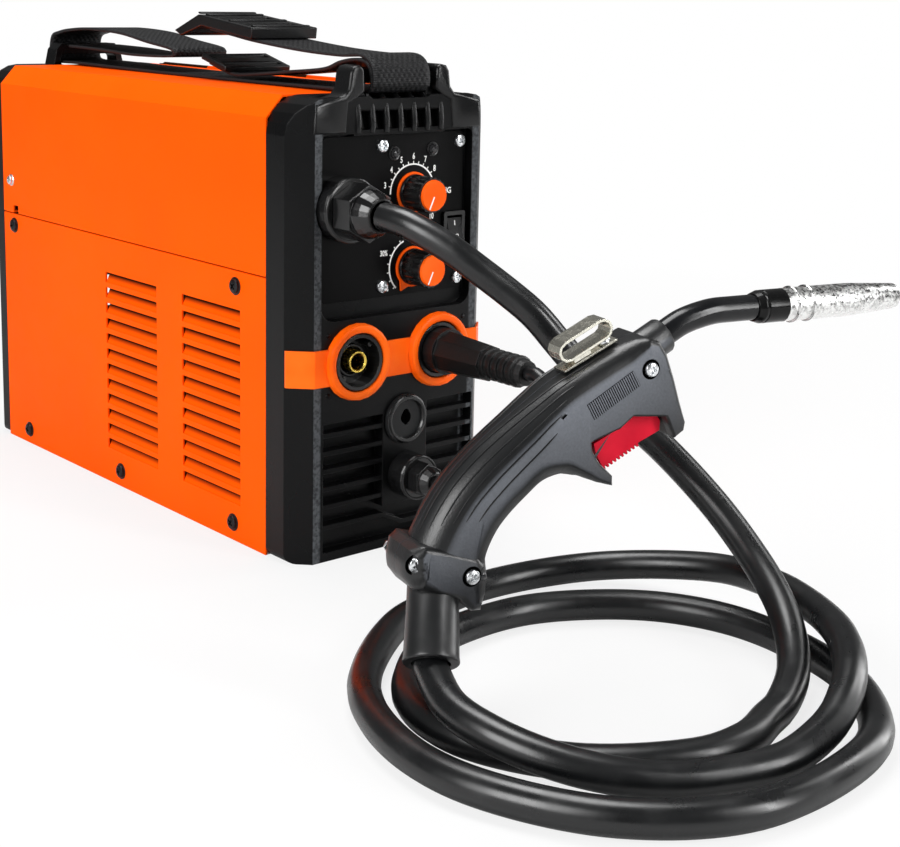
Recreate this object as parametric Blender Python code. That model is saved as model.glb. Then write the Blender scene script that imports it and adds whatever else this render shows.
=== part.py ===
"""Portable wire-feed welding machine with its torch, cable coil and carry strap.

Every size below is in millimetres.  X runs to the right seen from the front, Y to
the rear and Z up.  The origin is the centre of the case's underside.
"""

import math

import bmesh
import bpy
from mathutils import Matrix, Vector

MM = 0.001

# Clearances
GAP = 0.3            # between pieces that touch
RUNNING = 0.35       # round a turning shaft
HAIR = 0.01          # so that two faces never share a plane

# Sheet-metal case
CASE_WIDTH = 134.5
CASE_HEIGHT = 250.0
CASE_LENGTH = 308.8
CASE_FRONT = -142.0
SHEET = 1.2
LID_CHAMFER_WIDE = 10.5
LID_CHAMFER_TALL = 11.6
SEAM_HEIGHT = 153.4
SEAM_GAP = 0.8
HEM = 6.0
HALF = CASE_WIDTH / 2
CASE_REAR = CASE_FRONT + CASE_LENGTH
INNER_HALF = HALF - SHEET - GAP

# Lid hinge, along the case's upper right edge
HINGE_INSET = 17.05
HINGE_RISE = 0.6
HINGE_BARREL = 2.2
HINGE_PIN = 1.0
HINGE_KNUCKLES = 5
HINGE_MARGIN = 12.0
HINGE_X = HALF - HINGE_INSET
HINGE_Z = CASE_HEIGHT - HINGE_RISE

# Captive screw through the lid's side
LID_SCREW_Y = 154.6
LID_SCREW_Z = 175.7
LID_SCREW_HOLE = 2.3

# Louvres, pressed inwards in two columns
LOUVRE_ROWS = 12
LOUVRE_PITCH = 9.48
LOUVRE_BOTTOM = 21.6
LOUVRE_HEIGHT = 6.2
LOUVRE_LENGTH = 60.0
LOUVRE_LEAN = 2.9
LOUVRE_COLUMNS = (-87.5, 0.5)

# Front and rear mouldings
MOULD_WALL = 3.0
FRONT_SIDE_STRIP = 16.7
FRONT_CHAMFER = 11.2
REAR_DEPTH = 17.0
REAR_CHAMFER = 8.0
MOULD_FRONT_CORNER = CASE_FRONT - GAP - FRONT_SIDE_STRIP
FRONT_FACE = MOULD_FRONT_CORNER - FRONT_CHAMFER
FRONT_BACK = CASE_FRONT - GAP
REAR_START = CASE_REAR + GAP
REAR_FACE = REAR_START + REAR_DEPTH
TOP_CORNER = 20.0
BOTTOM_CORNER = 5.0

SCOOP_INNER = 37.5
SCOOP_OUTER = 49.5
SCOOP_DEPTH = 16.0
SCOOP_FOOT = 231.5

# Control recess and its plate
RECESS_HALF = 51.3
RECESS_BOTTOM = 132.0
RECESS_TOP = 230.5
RECESS_CORNER = 8.0
PLATE_HALF = 48.7
PLATE_BOTTOM = 141.0
PLATE_TOP = 229.0
PLATE_THICKNESS = 1.5
PLATE_SETBACK = 4.2
PLATE_FRONT = FRONT_FACE + PLATE_SETBACK
RECESS_FLOOR = PLATE_FRONT + PLATE_THICKNESS + GAP
PLATE_LAP = 4.0

# Torch gland
TORCH_X = -37.0
TORCH_Z = 191.5
GLAND_FLANGE = 17.5
GLAND_FLANGE_DEPTH = 11.7
GLAND_NUT = 15.3
GLAND_NUT_DEPTH = 14.0
GLAND_DOME_DEPTH = 10.0
GLAND_SHANK = 11.5
GLAND_SHANK_LENGTH = 16.0
CABLE_DIAMETER = 15.0

# Knobs
KNOB_X = 12.5
UPPER_KNOB_Z = 196.8
LOWER_KNOB_Z = 156.0
KNOB_RADIUS = 9.8
KNOB_LENGTH = 17.0
KNOB_CAP_RADIUS = 8.6
KNOB_CAP_THICKNESS = 1.4
KNOB_FLUTES = 18
FLUTE_DEPTH = 0.7
KNOB_FACE = 5.0
SHAFT_RADIUS = 3.0

# Mode switch, a rocker in a bezel
SWITCH_X = 41.4
SWITCH_Z = 174.5
BEZEL_WIDE = 15.3
BEZEL_TALL = 20.4
BEZEL_THICKNESS = 1.8
BEZEL_LAP = 1.1
SWITCH_BODY_WIDE = BEZEL_WIDE - 2 * BEZEL_LAP
SWITCH_BODY_TALL = BEZEL_TALL - 2 * BEZEL_LAP
SWITCH_WALL = 1.2
SWITCH_DEPTH = 18.0

# Signal lamps
LAMP_RADIUS = 2.8
LAMP_LIP = 0.8
LEFT_LAMP = (-0.6, 218.7)
RIGHT_LAMP = (26.0, 219.8)

# Sockets and colour band
SOCKET_X = 28.0
SOCKET_Z = 108.5
SOCKET_RADIUS = 15.9
SOCKET_RECESS = 13.5
SOCKET_RECESS_DEPTH = 10.0
SOCKET_BACK = 22.0
CONTACT_RADIUS = 6.7
CONTACT_BORE = 4.5
BAND_BOTTOM = 97.5
BAND_TOP = 117.5
BAND_THICKNESS = 1.2
RING_RADIUS = 21.2
RING_DEPTH = 3.8
SOCKET_SETBACK = 0.5
SOCKET_FACE = FRONT_FACE - RING_DEPTH + SOCKET_SETBACK

# Polarity plug and its lead
PLUG_COLLAR = 12.9
PLUG_BOOT = 12.0
PLUG_TAIL = 8.7
PLUG_LENGTH = 71.5
PLUG_PIN = 4.1
PLUG_PIN_ROOT = 12.0
PLUG_COLLAR_LENGTH = 8.0
PLUG_TAIL_LENGTH = 30.0
PLUG_RIBS = 5
LEAD_DIAMETER = 8.0
LEAD_X = 7.0
LEAD_Z = 40.5
LEAD_BOSS = 12.7
LEAD_BOSS_DEPTH = 12.5
LEAD_SHANK = 8.7
LEAD_SHANK_LENGTH = 12.0
LEAD_NUT = 9.8
LEAD_NUT_DEPTH = 14.0
COVER_X = 6.0
COVER_Z = 72.0
COVER_RING = 14.1
COVER_DISC = 10.9
SPARE_HOLE = 7.9

# Front grille
COLUMN_LEFT = -9.0
COLUMN_RIGHT = 21.7
GRILLE_LEFT = -49.5
GRILLE_RIGHT = 54.8
GRILLE_BOTTOM = 5.0
GRILLE_LEFT_TOP = 76.5
GRILLE_RIGHT_TOP = 80.0
COLUMN_FOOT = 24.0
RIB_THICKNESS = 2.6
RIB_PITCH = 9.9
RIB_DEPTH = 7.0
RIB_SETBACK = 0.5
RIB_BITE = 1.5
GRILLE_WALL = 1.9
FIRST_RIB_LEFT = 6.5
FIRST_RIB_RIGHT = 7.7
SLOPE_LENGTH = 14.0
SLOPE_RIB_LEFT = 18.9
SLOPE_RIB_RIGHT = 12.5

# Handle arch of each moulding
ARCH_FOOT_HALF = 31.0
ARCH_TOP_HALF = 22.5
ARCH_FOOT = 229.5
ARCH_TOP = 264.0
ARCH_DEPTH = 15.0
ARCH_LEAN = 7.5
REAR_ARCH_DEPTH = 13.0
SLOT_HALF = 21.0
SLOT_BOTTOM = 248.5
SLOT_TOP = 257.0
ARCH_POCKETS = 6
POCKET_WIDTH = 6.4
POCKET_PITCH = 9.4
POCKET_FIRST = -23.5
POCKET_BOTTOM = 232.5
POCKET_TOP = 246.0
POCKET_DEPTH = 3.5

# Wire bay
DECK_HEIGHT = 137.0
WALL_X = 21.0
BASE_FLANGE = 12.0
SPOOL_RADIUS = 50.0
SPOOL_WIDTH = 45.0
SPOOL_HUB = 24.0
SPOOL_FLANGE = 2.5
SPOOL_Y = 70.0
SPOOL_LIFT = 2.0
SPINDLE_RADIUS = 7.9
WINDING_RADIUS = 42.0
FEEDER_Y = -75.0
FEEDER_PLATE = 10.0
DRIVE_RADIUS = 15.0
PRESSURE_RADIUS = 11.0
ROLLER_WIDTH = 12.0
WIRE_GAP = 1.0
MOTOR_RADIUS = 18.0
MOTOR_LENGTH = 34.0

# Rear side
FAN_SIZE = 92.0
FAN_DEPTH = 25.0
FAN_Z = 62.0
FAN_BLADES = 7
FAN_HUB = 17.0
FAN_AXLE = 4.0
FAN_RIM = 2.5
FAN_SLOT_ROWS = 4
FAN_SLOT_PITCH = 9.0
FAN_SLOT_HEIGHT = 5.2
FAN_SLOT_BAR = 3.0
FAN_SLOT_MARGIN = 4.6
REAR_SWITCH_X = -38.0
REAR_SWITCH_Z = 196.0
REAR_SWITCH_WIDE = 30.0
REAR_SWITCH_TALL = 22.0
MAINS_X = 34.0
MAINS_Z = 190.0
MAINS_SHANK = 8.0
MAINS_SHANK_LENGTH = 12.0

# Carry strap
STRAP_WIDTH = 38.0
STRAP_THICKNESS = 1.8
STRAP_RISE = 4.4

# Torch, drawn in an upright plane turned a little from the X axis
TORCH_ORIGIN = (-117.8, -346.1)
TORCH_TURN = -13.8
GRIP_THICKNESS = 30.0
GRIP_BEVEL = 4.0
TRIGGER_WIDTH = 12.0
NECK_RADIUS = 5.5
INSULATOR_RADIUS = 8.2
NOZZLE_RADIUS = 8.6
NOZZLE_TIP_RADIUS = 6.8
NOZZLE_WALL = 1.3
NOZZLE_LENGTH = 66.5
SLEEVE_RADIUS = 11.5

# Cable coil, wound on the floor before the machine
COIL_CENTRE = (-37.0, -385.0)
COIL_POINTS_PER_LOOP = 24
FLOOR_CLEAR = 0.3


def clear_scene():
    for old in list(bpy.data.objects):
        bpy.data.objects.remove(old, do_unlink=True)


def finish(name, colour, roughness=0.5, metallic=0.0):
    """A material for one kind of surface."""
    made = bpy.data.materials.get(name)
    if made is None:
        made = bpy.data.materials.new(name)
        made.use_nodes = True
        shader = made.node_tree.nodes["Principled BSDF"]
        shader.inputs["Base Color"].default_value = (*colour, 1.0)
        shader.inputs["Roughness"].default_value = roughness
        shader.inputs["Metallic"].default_value = metallic
    return made


def orange_paint():
    return finish("orange_paint", (0.80, 0.17, 0.02), 0.42)


def black_plastic():
    return finish("black_plastic", (0.022, 0.022, 0.024), 0.48)


def orange_plastic():
    return finish("orange_plastic", (0.85, 0.19, 0.02), 0.45)


def black_rubber():
    return finish("black_rubber", (0.02, 0.02, 0.022), 0.6)


def brass():
    return finish("brass", (0.72, 0.49, 0.17), 0.3, 1.0)


def bright_steel():
    return finish("bright_steel", (0.66, 0.66, 0.67), 0.28, 1.0)


def zinc_sheet():
    return finish("zinc_sheet", (0.52, 0.53, 0.54), 0.45, 1.0)


def webbing():
    return finish("webbing", (0.03, 0.03, 0.033), 0.85)


def black_metal():
    return finish("black_metal", (0.03, 0.03, 0.03), 0.35, 0.4)


def red_plastic():
    return finish("red_plastic", (0.72, 0.03, 0.06), 0.4)


def board_green():
    return finish("board_green", (0.05, 0.2, 0.08), 0.5)


def copper():
    return finish("copper", (0.7, 0.33, 0.18), 0.35, 1.0)


def lens():
    return finish("lens", (0.7, 0.72, 0.5), 0.2)


def make(name, bm, material):
    """Turn a millimetre bmesh into a named object in metres."""
    bmesh.ops.recalc_face_normals(bm, faces=bm.faces)
    bmesh.ops.scale(bm, vec=(MM, MM, MM), verts=bm.verts)
    mesh = bpy.data.meshes.new(name)
    bm.to_mesh(mesh)
    bm.free()
    mesh.materials.append(material)
    mesh.shade_smooth()
    mesh.set_sharp_from_angle(angle=math.radians(35))
    made = bpy.data.objects.new(name, mesh)
    bpy.context.scene.collection.objects.link(made)
    return made


def tool(name, bm):
    """A cutter or guide, kept out of the finished model."""
    made = make(name, bm, black_plastic())
    made.hide_render = True
    made.display_type = "WIRE"
    return made


def boolean(body, other, operation):
    step = body.modifiers.new(other.name, "BOOLEAN")
    step.operation = operation
    step.solver = "EXACT"
    step.object = other
    other.hide_render = True
    other.display_type = "WIRE"
    return body


def cut(body, other):
    return boolean(body, other, "DIFFERENCE")


def add(body, other):
    return boolean(body, other, "UNION")


def keep(body, other):
    return boolean(body, other, "INTERSECT")


def set_pivot(made, point):
    """Put an object's origin on its joint's axis."""
    offset = Vector(point) * MM
    made.data.transform(Matrix.Translation(-offset))
    made.location = offset
    return made


def lay_out(outline, axis, level):
    """Outline points in the plane square to an axis, at a level along it."""
    if axis == "X":
        return [(level, a, b) for a, b in outline]
    if axis == "Y":
        return [(a, level, b) for a, b in outline]
    return [(a, b, level) for a, b in outline]


def prism_mesh(outline, axis, low, high, bm=None):
    """An outline carried along an axis from one level to another."""
    bm = bm or bmesh.new()
    corners = [bm.verts.new(point) for point in lay_out(outline, axis, low)]
    face = bm.faces.new(corners)
    grown = bmesh.ops.extrude_face_region(bm, geom=[face])["geom"]
    moved = [item for item in grown if isinstance(item, bmesh.types.BMVert)]
    step = Vector(lay_out([(0.0, 0.0)], axis, high - low)[0])
    bmesh.ops.translate(bm, verts=moved, vec=step)
    return bm


def block_mesh(x, y, z, bm=None):
    outline = [(x[0], y[0]), (x[1], y[0]), (x[1], y[1]), (x[0], y[1])]
    return prism_mesh(outline, "Z", z[0], z[1], bm)


def turned_mesh(profile, centre, axis="Y", steps=20, closed=False, bm=None):
    """A profile of (radius, place along the axis) spun about that axis."""
    bm = bm or bmesh.new()
    points = []
    for radius, along in profile:
        if axis == "X":
            points.append((along, centre[0] + radius, centre[1]))
        elif axis == "Y":
            points.append((centre[0] + radius, along, centre[1]))
        else:
            points.append((centre[0] + radius, centre[1], along))
    verts = [bm.verts.new(point) for point in points]
    pairs = list(zip(verts, verts[1:]))
    if closed:
        pairs.append((verts[-1], verts[0]))
    edges = [bm.edges.new(pair) for pair in pairs]
    middle = {"X": (0, *centre), "Y": (centre[0], 0, centre[1]), "Z": (*centre, 0)}[axis]
    direction = {"X": (1, 0, 0), "Y": (0, 1, 0), "Z": (0, 0, 1)}[axis]
    bmesh.ops.spin(
        bm,
        geom=verts + edges,
        cent=middle,
        axis=direction,
        angle=math.tau,
        steps=steps,
        use_merge=True,
    )
    bmesh.ops.remove_doubles(bm, verts=bm.verts, dist=0.001)
    bmesh.ops.dissolve_degenerate(bm, edges=bm.edges, dist=0.0005)
    return bm


def solid_profile(radius, start, end):
    return [(0.0, start), (radius, start), (radius, end), (0.0, end)]


def arc(centre, radius, start, end, count):
    """Points round part of a circle, angles in degrees."""
    points = []
    for index in range(count + 1):
        angle = math.radians(start + (end - start) * index / count)
        points.append((centre[0] + radius * math.cos(angle), centre[1] + radius * math.sin(angle)))
    return points


def rounded_outline(left, right, bottom, top, low_radius, high_radius, count=4):
    """A rectangle whose lower and upper corners are rounded."""
    outline = arc((left + low_radius, bottom + low_radius), low_radius, 180, 270, count)
    outline += arc((right - low_radius, bottom + low_radius), low_radius, 270, 360, count)
    outline += arc((right - high_radius, top - high_radius), high_radius, 0, 90, count)
    outline += arc((left + high_radius, top - high_radius), high_radius, 90, 180, count)
    return outline


def polygon(radius, sides, centre=(0.0, 0.0), turn=0.0):
    return arc(centre, radius, turn, turn + 360.0 * (sides - 1) / sides, sides - 1)


def smooth_route(stations, step):
    """Even points on one smooth curve through a route's own points."""
    points = [Vector(station) for station in stations]
    ends = [points[0] * 2 - points[1]] + points + [points[-1] * 2 - points[-2]]
    fine = []
    for first, second, third, fourth in zip(ends, ends[1:], ends[2:], ends[3:]):
        for part in range(16):
            t = part / 16
            a = second * 2 + (third - first) * t
            b = (first * 2 - second * 5 + third * 4 - fourth) * t * t
            c = (second * 3 - third * 3 + fourth - first) * t * t * t
            fine.append((a + b + c) / 2)
    fine.append(points[-1])
    lengths = [0.0]
    for before, after in zip(fine, fine[1:]):
        lengths.append(lengths[-1] + (after - before).length)
    count = max(2, round(lengths[-1] / step))
    even = []
    place = 0
    for index in range(count + 1):
        wanted = lengths[-1] * index / count
        while place < len(fine) - 2 and lengths[place + 1] < wanted:
            place += 1
        span = lengths[place + 1] - lengths[place]
        share = (wanted - lengths[place]) / span
        even.append(fine[place].lerp(fine[place + 1], min(1.0, share)))
    return even


def cord(name, points, diameter, resolution, material):
    """A round cord along a row of points, closed by flat caps."""
    curve = bpy.data.curves.new(name, "CURVE")
    curve.dimensions = "3D"
    curve.bevel_depth = diameter / 2 * MM
    curve.bevel_resolution = resolution
    curve.use_fill_caps = True
    spline = curve.splines.new("POLY")
    spline.points.add(len(points) - 1)
    for knot, point in zip(spline.points, points):
        knot.co = (*(Vector(point) * MM), 1.0)
    curve.materials.append(material)
    made = bpy.data.objects.new(name, curve)
    bpy.context.scene.collection.objects.link(made)
    return made


# ---------------------------------------------------------------- case


def wall_outline(sign, top_inner):
    """Section of one side: wall, chamfer and the start of the top, outer face first."""
    outer = sign * HALF
    inner = sign * (HALF - SHEET)
    shoulder = CASE_HEIGHT - LID_CHAMFER_TALL
    corner = sign * (HALF - LID_CHAMFER_WIDE)
    slope = SHEET * 0.45
    return (
        [(outer, shoulder), (corner, CASE_HEIGHT), (top_inner, CASE_HEIGHT)],
        [
            (top_inner, CASE_HEIGHT - SHEET),
            (corner + -sign * slope * 0.6, CASE_HEIGHT - SHEET),
            (inner, shoulder - slope),
        ],
    )


def louvre_spans():
    """Each louvre's length along Y and its height range."""
    spans = []
    for column in LOUVRE_COLUMNS:
        for row in range(LOUVRE_ROWS):
            low = LOUVRE_BOTTOM + row * LOUVRE_PITCH
            along = (column - LOUVRE_LENGTH / 2, column + LOUVRE_LENGTH / 2)
            spans.append((along, (low, low + LOUVRE_HEIGHT)))
    return spans


def louvre_windows(name, sign):
    windows = bmesh.new()
    outer = sign * HALF
    depth = sorted((outer + sign * SHEET, outer - sign * SHEET * 2))
    for along, heights in louvre_spans():
        block_mesh(depth, along, heights, windows)
    return tool(name, windows)


def louvre_blades(name, sign):
    """Blades that lean inwards from each window's lower edge."""
    blades = bmesh.new()
    root = sign * (HALF - SHEET * 0.15)
    leaf = sign * SHEET * 0.7
    lean = sign * LOUVRE_LEAN
    for along, (low, high) in louvre_spans():
        foot = low - SHEET * 0.6
        head = high - SHEET * 0.2
        section = [(root, foot), (root - leaf, foot), (root - leaf - lean, head), (root - lean, head)]
        prism_mesh(section, "Y", along[0] + GAP, along[1] - GAP, blades)
    return tool(name, blades)


def hinge_spans(first):
    """The stretches of the hinge that one leaf's knuckles take."""
    start = CASE_FRONT + HINGE_MARGIN
    length = (CASE_LENGTH - 2 * HINGE_MARGIN) / HINGE_KNUCKLES
    spans = []
    for index in range(first, HINGE_KNUCKLES, 2):
        spans.append((start + index * length + GAP / 2, start + (index + 1) * length - GAP / 2))
    return spans


def hinge_leaf(name, first, sheet_edge):
    """Knuckles of one leaf with the tongues that join them to their sheet."""
    solid = bmesh.new()
    bore = bmesh.new()
    clear = HINGE_PIN + GAP
    reach = math.copysign(HINGE_BARREL * 0.6, sheet_edge - HINGE_X)
    tongue = sorted((HINGE_X + reach, sheet_edge + math.copysign(2.0, reach)))
    for low, high in hinge_spans(first):
        section = polygon(HINGE_BARREL, 12, (HINGE_X, HINGE_Z), 15)
        prism_mesh(section, "Y", low, high, solid)
        prism_mesh(polygon(clear, 12, (HINGE_X, HINGE_Z), 15), "Y", low - 1, high + 1, bore)
    tongues = bmesh.new()
    for low, high in hinge_spans(first):
        top = CASE_HEIGHT - SHEET * 0.15
        block_mesh(tongue, (low + 0.05, high - 0.05), (top - SHEET * 0.7, top), tongues)
    return tool(name + "_knuckles", solid), tool(name + "_tongues", tongues), tool(name + "_bore", bore)


def join_hinge(body, name, first, sheet_edge):
    knuckles, tongues, bore = hinge_leaf(name, first, sheet_edge)
    relief = bmesh.new()
    for low, high in hinge_spans(1 - first):
        section = polygon(HINGE_BARREL + GAP, 12, (HINGE_X, HINGE_Z), 15)
        prism_mesh(section, "Y", low - GAP / 2, high + GAP / 2, relief)
    cut(body, tool(name + "_relief", relief))
    add(body, tongues)
    add(body, knuckles)
    cut(body, bore)
    return body


def left_lower_panel():
    top = SEAM_HEIGHT
    section = [
        (-HALF, 0.0),
        (-HALF, top),
        (-HALF + HEM, top),
        (-HALF + HEM, top - SHEET),
        (-HALF + SHEET, top - SHEET),
        (-HALF + SHEET, 0.0),
    ]
    body = make("left_lower_panel", prism_mesh(section, "Y", CASE_FRONT, CASE_REAR), orange_paint())
    cut(body, louvre_windows("left_louvre_windows", -1))
    return add(body, louvre_blades("left_louvre_blades", -1))


def right_side_panel():
    edge = HINGE_X + HINGE_BARREL + GAP
    outer, inner = wall_outline(1, edge)
    section = [(HALF, 0.0)] + outer + inner + [(HALF - SHEET, 0.0)]
    body = make("right_side_panel", prism_mesh(section, "Y", CASE_FRONT, CASE_REAR), orange_paint())
    cut(body, louvre_windows("right_louvre_windows", 1))
    return join_hinge(body, "panel_hinge", 0, edge)


def lid():
    edge = HINGE_X - HINGE_BARREL - GAP
    low = SEAM_HEIGHT + SEAM_GAP
    outer, inner = wall_outline(-1, edge)
    foot = [(-HALF + SHEET, low + SHEET), (-HALF + HEM, low + SHEET), (-HALF + HEM, low)]
    section = [(-HALF, low)] + outer + inner + foot
    body = make("lid", prism_mesh(section, "Y", CASE_FRONT, CASE_REAR), orange_paint())
    notch = block_mesh((-HALF - 1, -HALF + HEM + 1), (146.0, 153.0), (low - 1, low + 5))
    cut(body, tool("lid_notch", notch))
    hole = turned_mesh(solid_profile(LID_SCREW_HOLE, -HALF - 2, -HALF + 4), (LID_SCREW_Y, LID_SCREW_Z), "X", 10)
    cut(body, tool("lid_screw_hole", hole))
    join_hinge(body, "lid_hinge", 1, edge)
    return set_pivot(body, (HINGE_X, 0.0, HINGE_Z))


def lid_hinge_pin():
    low = CASE_FRONT + HINGE_MARGIN
    bm = prism_mesh(polygon(HINGE_PIN, 12, (HINGE_X, HINGE_Z), 15), "Y", low, CASE_REAR - HINGE_MARGIN)
    return make("lid_hinge_pin", bm, bright_steel())



def base_pan():
    """Tray with turned-up sides that the side panels screw to."""
    side = INNER_HALF
    section = [
        (-side, 0.0),
        (side, 0.0),
        (side, BASE_FLANGE),
        (side - SHEET, BASE_FLANGE),
        (side - SHEET, SHEET),
        (-side + SHEET, SHEET),
        (-side + SHEET, BASE_FLANGE),
        (-side, BASE_FLANGE),
    ]
    bm = prism_mesh(section, "Y", CASE_FRONT + GAP, CASE_REAR - GAP)
    return make("base_pan", bm, zinc_sheet())


# ---------------------------------------------------------------- mouldings


def moulding_plan(side_level, face_level, chamfer):
    """Plan outline of a moulding from the panels' ends to its face."""
    return [
        (-HALF, side_level),
        (HALF, side_level),
        (HALF, face_level - math.copysign(chamfer, face_level - side_level)),
        (HALF - chamfer, face_level),
        (-HALF + chamfer, face_level),
        (-HALF, face_level - math.copysign(chamfer, face_level - side_level)),
    ]


def arch_outline(grow=0.0):
    return [
        (-ARCH_FOOT_HALF - grow, ARCH_FOOT - grow),
        (ARCH_FOOT_HALF + grow, ARCH_FOOT - grow),
        (ARCH_TOP_HALF + grow + 1.5, ARCH_TOP - 4.0),
        (ARCH_TOP_HALF + grow - 2.5, ARCH_TOP + grow),
        (-ARCH_TOP_HALF - grow + 2.5, ARCH_TOP + grow),
        (-ARCH_TOP_HALF - grow - 1.5, ARCH_TOP - 4.0),
    ]


def lean_back(bm, lean):
    """Shear an arch so that its top leans towards the machine's middle."""
    for vert in bm.verts:
        rise = max(0.0, vert.co.z - ARCH_FOOT - 5.0) / (ARCH_TOP - ARCH_FOOT - 5.0)
        vert.co.y += lean * rise
    return bm


def arch_mesh(face, toward, depth, lean):
    return lean_back(prism_mesh(arch_outline(), "Y", face, face + toward * depth), lean)


def arch_slot_mesh(face, toward):
    outline = rounded_outline(-SLOT_HALF, SLOT_HALF, SLOT_BOTTOM, SLOT_TOP, 3.0, 3.0, 3)
    return prism_mesh(outline, "Y", face - toward * 5, face + toward * (ARCH_DEPTH + ARCH_LEAN + 5))


def arch_pockets_mesh(face, toward):
    bm = bmesh.new()
    for index in range(ARCH_POCKETS):
        left = POCKET_FIRST + index * POCKET_PITCH - POCKET_WIDTH / 2
        half = POCKET_WIDTH / 2
        outline = [(left, POCKET_BOTTOM), (left + POCKET_WIDTH, POCKET_BOTTOM)]
        outline += arc((left + half, POCKET_TOP - half), half, 0, 180, 4)
        prism_mesh(outline, "Y", face - toward * 2, face + toward * POCKET_DEPTH, bm)
    return lean_back(bm, toward * ARCH_LEAN)


def silhouette():
    """Front view of a moulding with its rounded corners."""
    low = -HALF - HAIR
    return rounded_outline(low, -low, -HAIR, CASE_HEIGHT + HAIR, BOTTOM_CORNER, TOP_CORNER, 5)


def front_shell():
    """Chamfered, hollow front moulding before its openings are made."""
    plan = moulding_plan(FRONT_BACK, FRONT_FACE, FRONT_CHAMFER)
    body = make("front_frame", prism_mesh(plan, "Z", 0.0, CASE_HEIGHT), black_plastic())
    keep(body, tool("front_silhouette", prism_mesh(silhouette(), "Y", FRONT_FACE - 1, FRONT_BACK + 1)))
    inner = HALF - MOULD_WALL
    bite = FRONT_CHAMFER - MOULD_WALL * 0.4
    hollow = [
        (-inner, FRONT_BACK + 1),
        (inner, FRONT_BACK + 1),
        (inner, FRONT_FACE + MOULD_WALL + bite),
        (inner - bite, FRONT_FACE + MOULD_WALL),
        (-inner + bite, FRONT_FACE + MOULD_WALL),
        (-inner, FRONT_FACE + MOULD_WALL + bite),
    ]
    lower = prism_mesh(hollow, "Z", MOULD_WALL, RECESS_BOTTOM - MOULD_WALL)
    cut(body, tool("front_lower_hollow", lower))
    upper_face = RECESS_FLOOR + MOULD_WALL
    upper = [(-inner, FRONT_BACK + 1), (inner, FRONT_BACK + 1), (inner, upper_face), (-inner, upper_face)]
    upper_hollow = prism_mesh(upper, "Z", RECESS_BOTTOM - MOULD_WALL - HAIR, RECESS_TOP - MOULD_WALL)
    cut(body, tool("front_upper_hollow", upper_hollow))
    return body


def front_recess(body):
    outline = rounded_outline(
        -RECESS_HALF, RECESS_HALF, RECESS_BOTTOM, RECESS_TOP, RECESS_CORNER, 3.0, 5
    )
    cut(body, tool("control_recess", prism_mesh(outline, "Y", FRONT_FACE - 1, RECESS_FLOOR)))
    window = block_mesh(
        (-PLATE_HALF + PLATE_LAP, PLATE_HALF - PLATE_LAP),
        (RECESS_FLOOR - 1, RECESS_FLOOR + MOULD_WALL + 1),
        (PLATE_BOTTOM + PLATE_LAP, PLATE_TOP - PLATE_LAP),
    )
    cut(body, tool("control_window", window))
    switch_wide = SWITCH_BODY_WIDE / 2 + GAP
    switch_tall = SWITCH_BODY_TALL / 2 + GAP
    notch = block_mesh(
        (SWITCH_X - switch_wide, SWITCH_X + switch_wide),
        (RECESS_FLOOR - 2, RECESS_FLOOR + MOULD_WALL + 2),
        (SWITCH_Z - switch_tall, SWITCH_Z + switch_tall),
    )
    cut(body, tool("switch_window", notch))
    hole = polygon(GLAND_SHANK + GAP, 24, (TORCH_X, TORCH_Z))
    shank = prism_mesh(hole, "Y", RECESS_FLOOR - 1, RECESS_FLOOR + MOULD_WALL + 1)
    cut(body, tool("gland_window", shank))
    relief = polygon(GLAND_FLANGE + GAP * 2, 32, (TORCH_X, TORCH_Z))
    return cut(body, tool("gland_relief", prism_mesh(relief, "Y", FRONT_FACE - 2, RECESS_FLOOR - 0.1)))


def front_scoops(body):
    """Wells open at the top between the arch's legs and the corner posts."""
    bm = bmesh.new()
    depth = (FRONT_FACE + MOULD_WALL * 0.9, FRONT_FACE + SCOOP_DEPTH)
    for sign in (-1, 1):
        block_mesh(sorted((sign * SCOOP_INNER, sign * SCOOP_OUTER)), depth, (SCOOP_FOOT, CASE_HEIGHT + 5), bm)
    return cut(body, tool("front_scoops", bm))


def grille_outline(grow=0.0):
    """Both tall pockets and the wide one that joins them at the foot."""
    return [
        (GRILLE_LEFT - grow, GRILLE_BOTTOM - grow),
        (GRILLE_RIGHT + grow, GRILLE_BOTTOM - grow),
        (GRILLE_RIGHT + grow, GRILLE_RIGHT_TOP + grow),
        (COLUMN_RIGHT - grow, GRILLE_RIGHT_TOP + grow),
        (COLUMN_RIGHT - grow, COLUMN_FOOT + grow),
        (COLUMN_LEFT + grow, COLUMN_FOOT + grow),
        (COLUMN_LEFT + grow, GRILLE_LEFT_TOP + grow),
        (GRILLE_LEFT - grow, GRILLE_LEFT_TOP + grow),
    ]


def grille_rib(bm, start, end, level):
    half = RIB_THICKNESS / 2
    ys = (FRONT_FACE + RIB_SETBACK, FRONT_FACE + RIB_DEPTH + GRILLE_WALL / 2)
    return block_mesh((start, end), ys, (level - half, level + half), bm)


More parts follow.
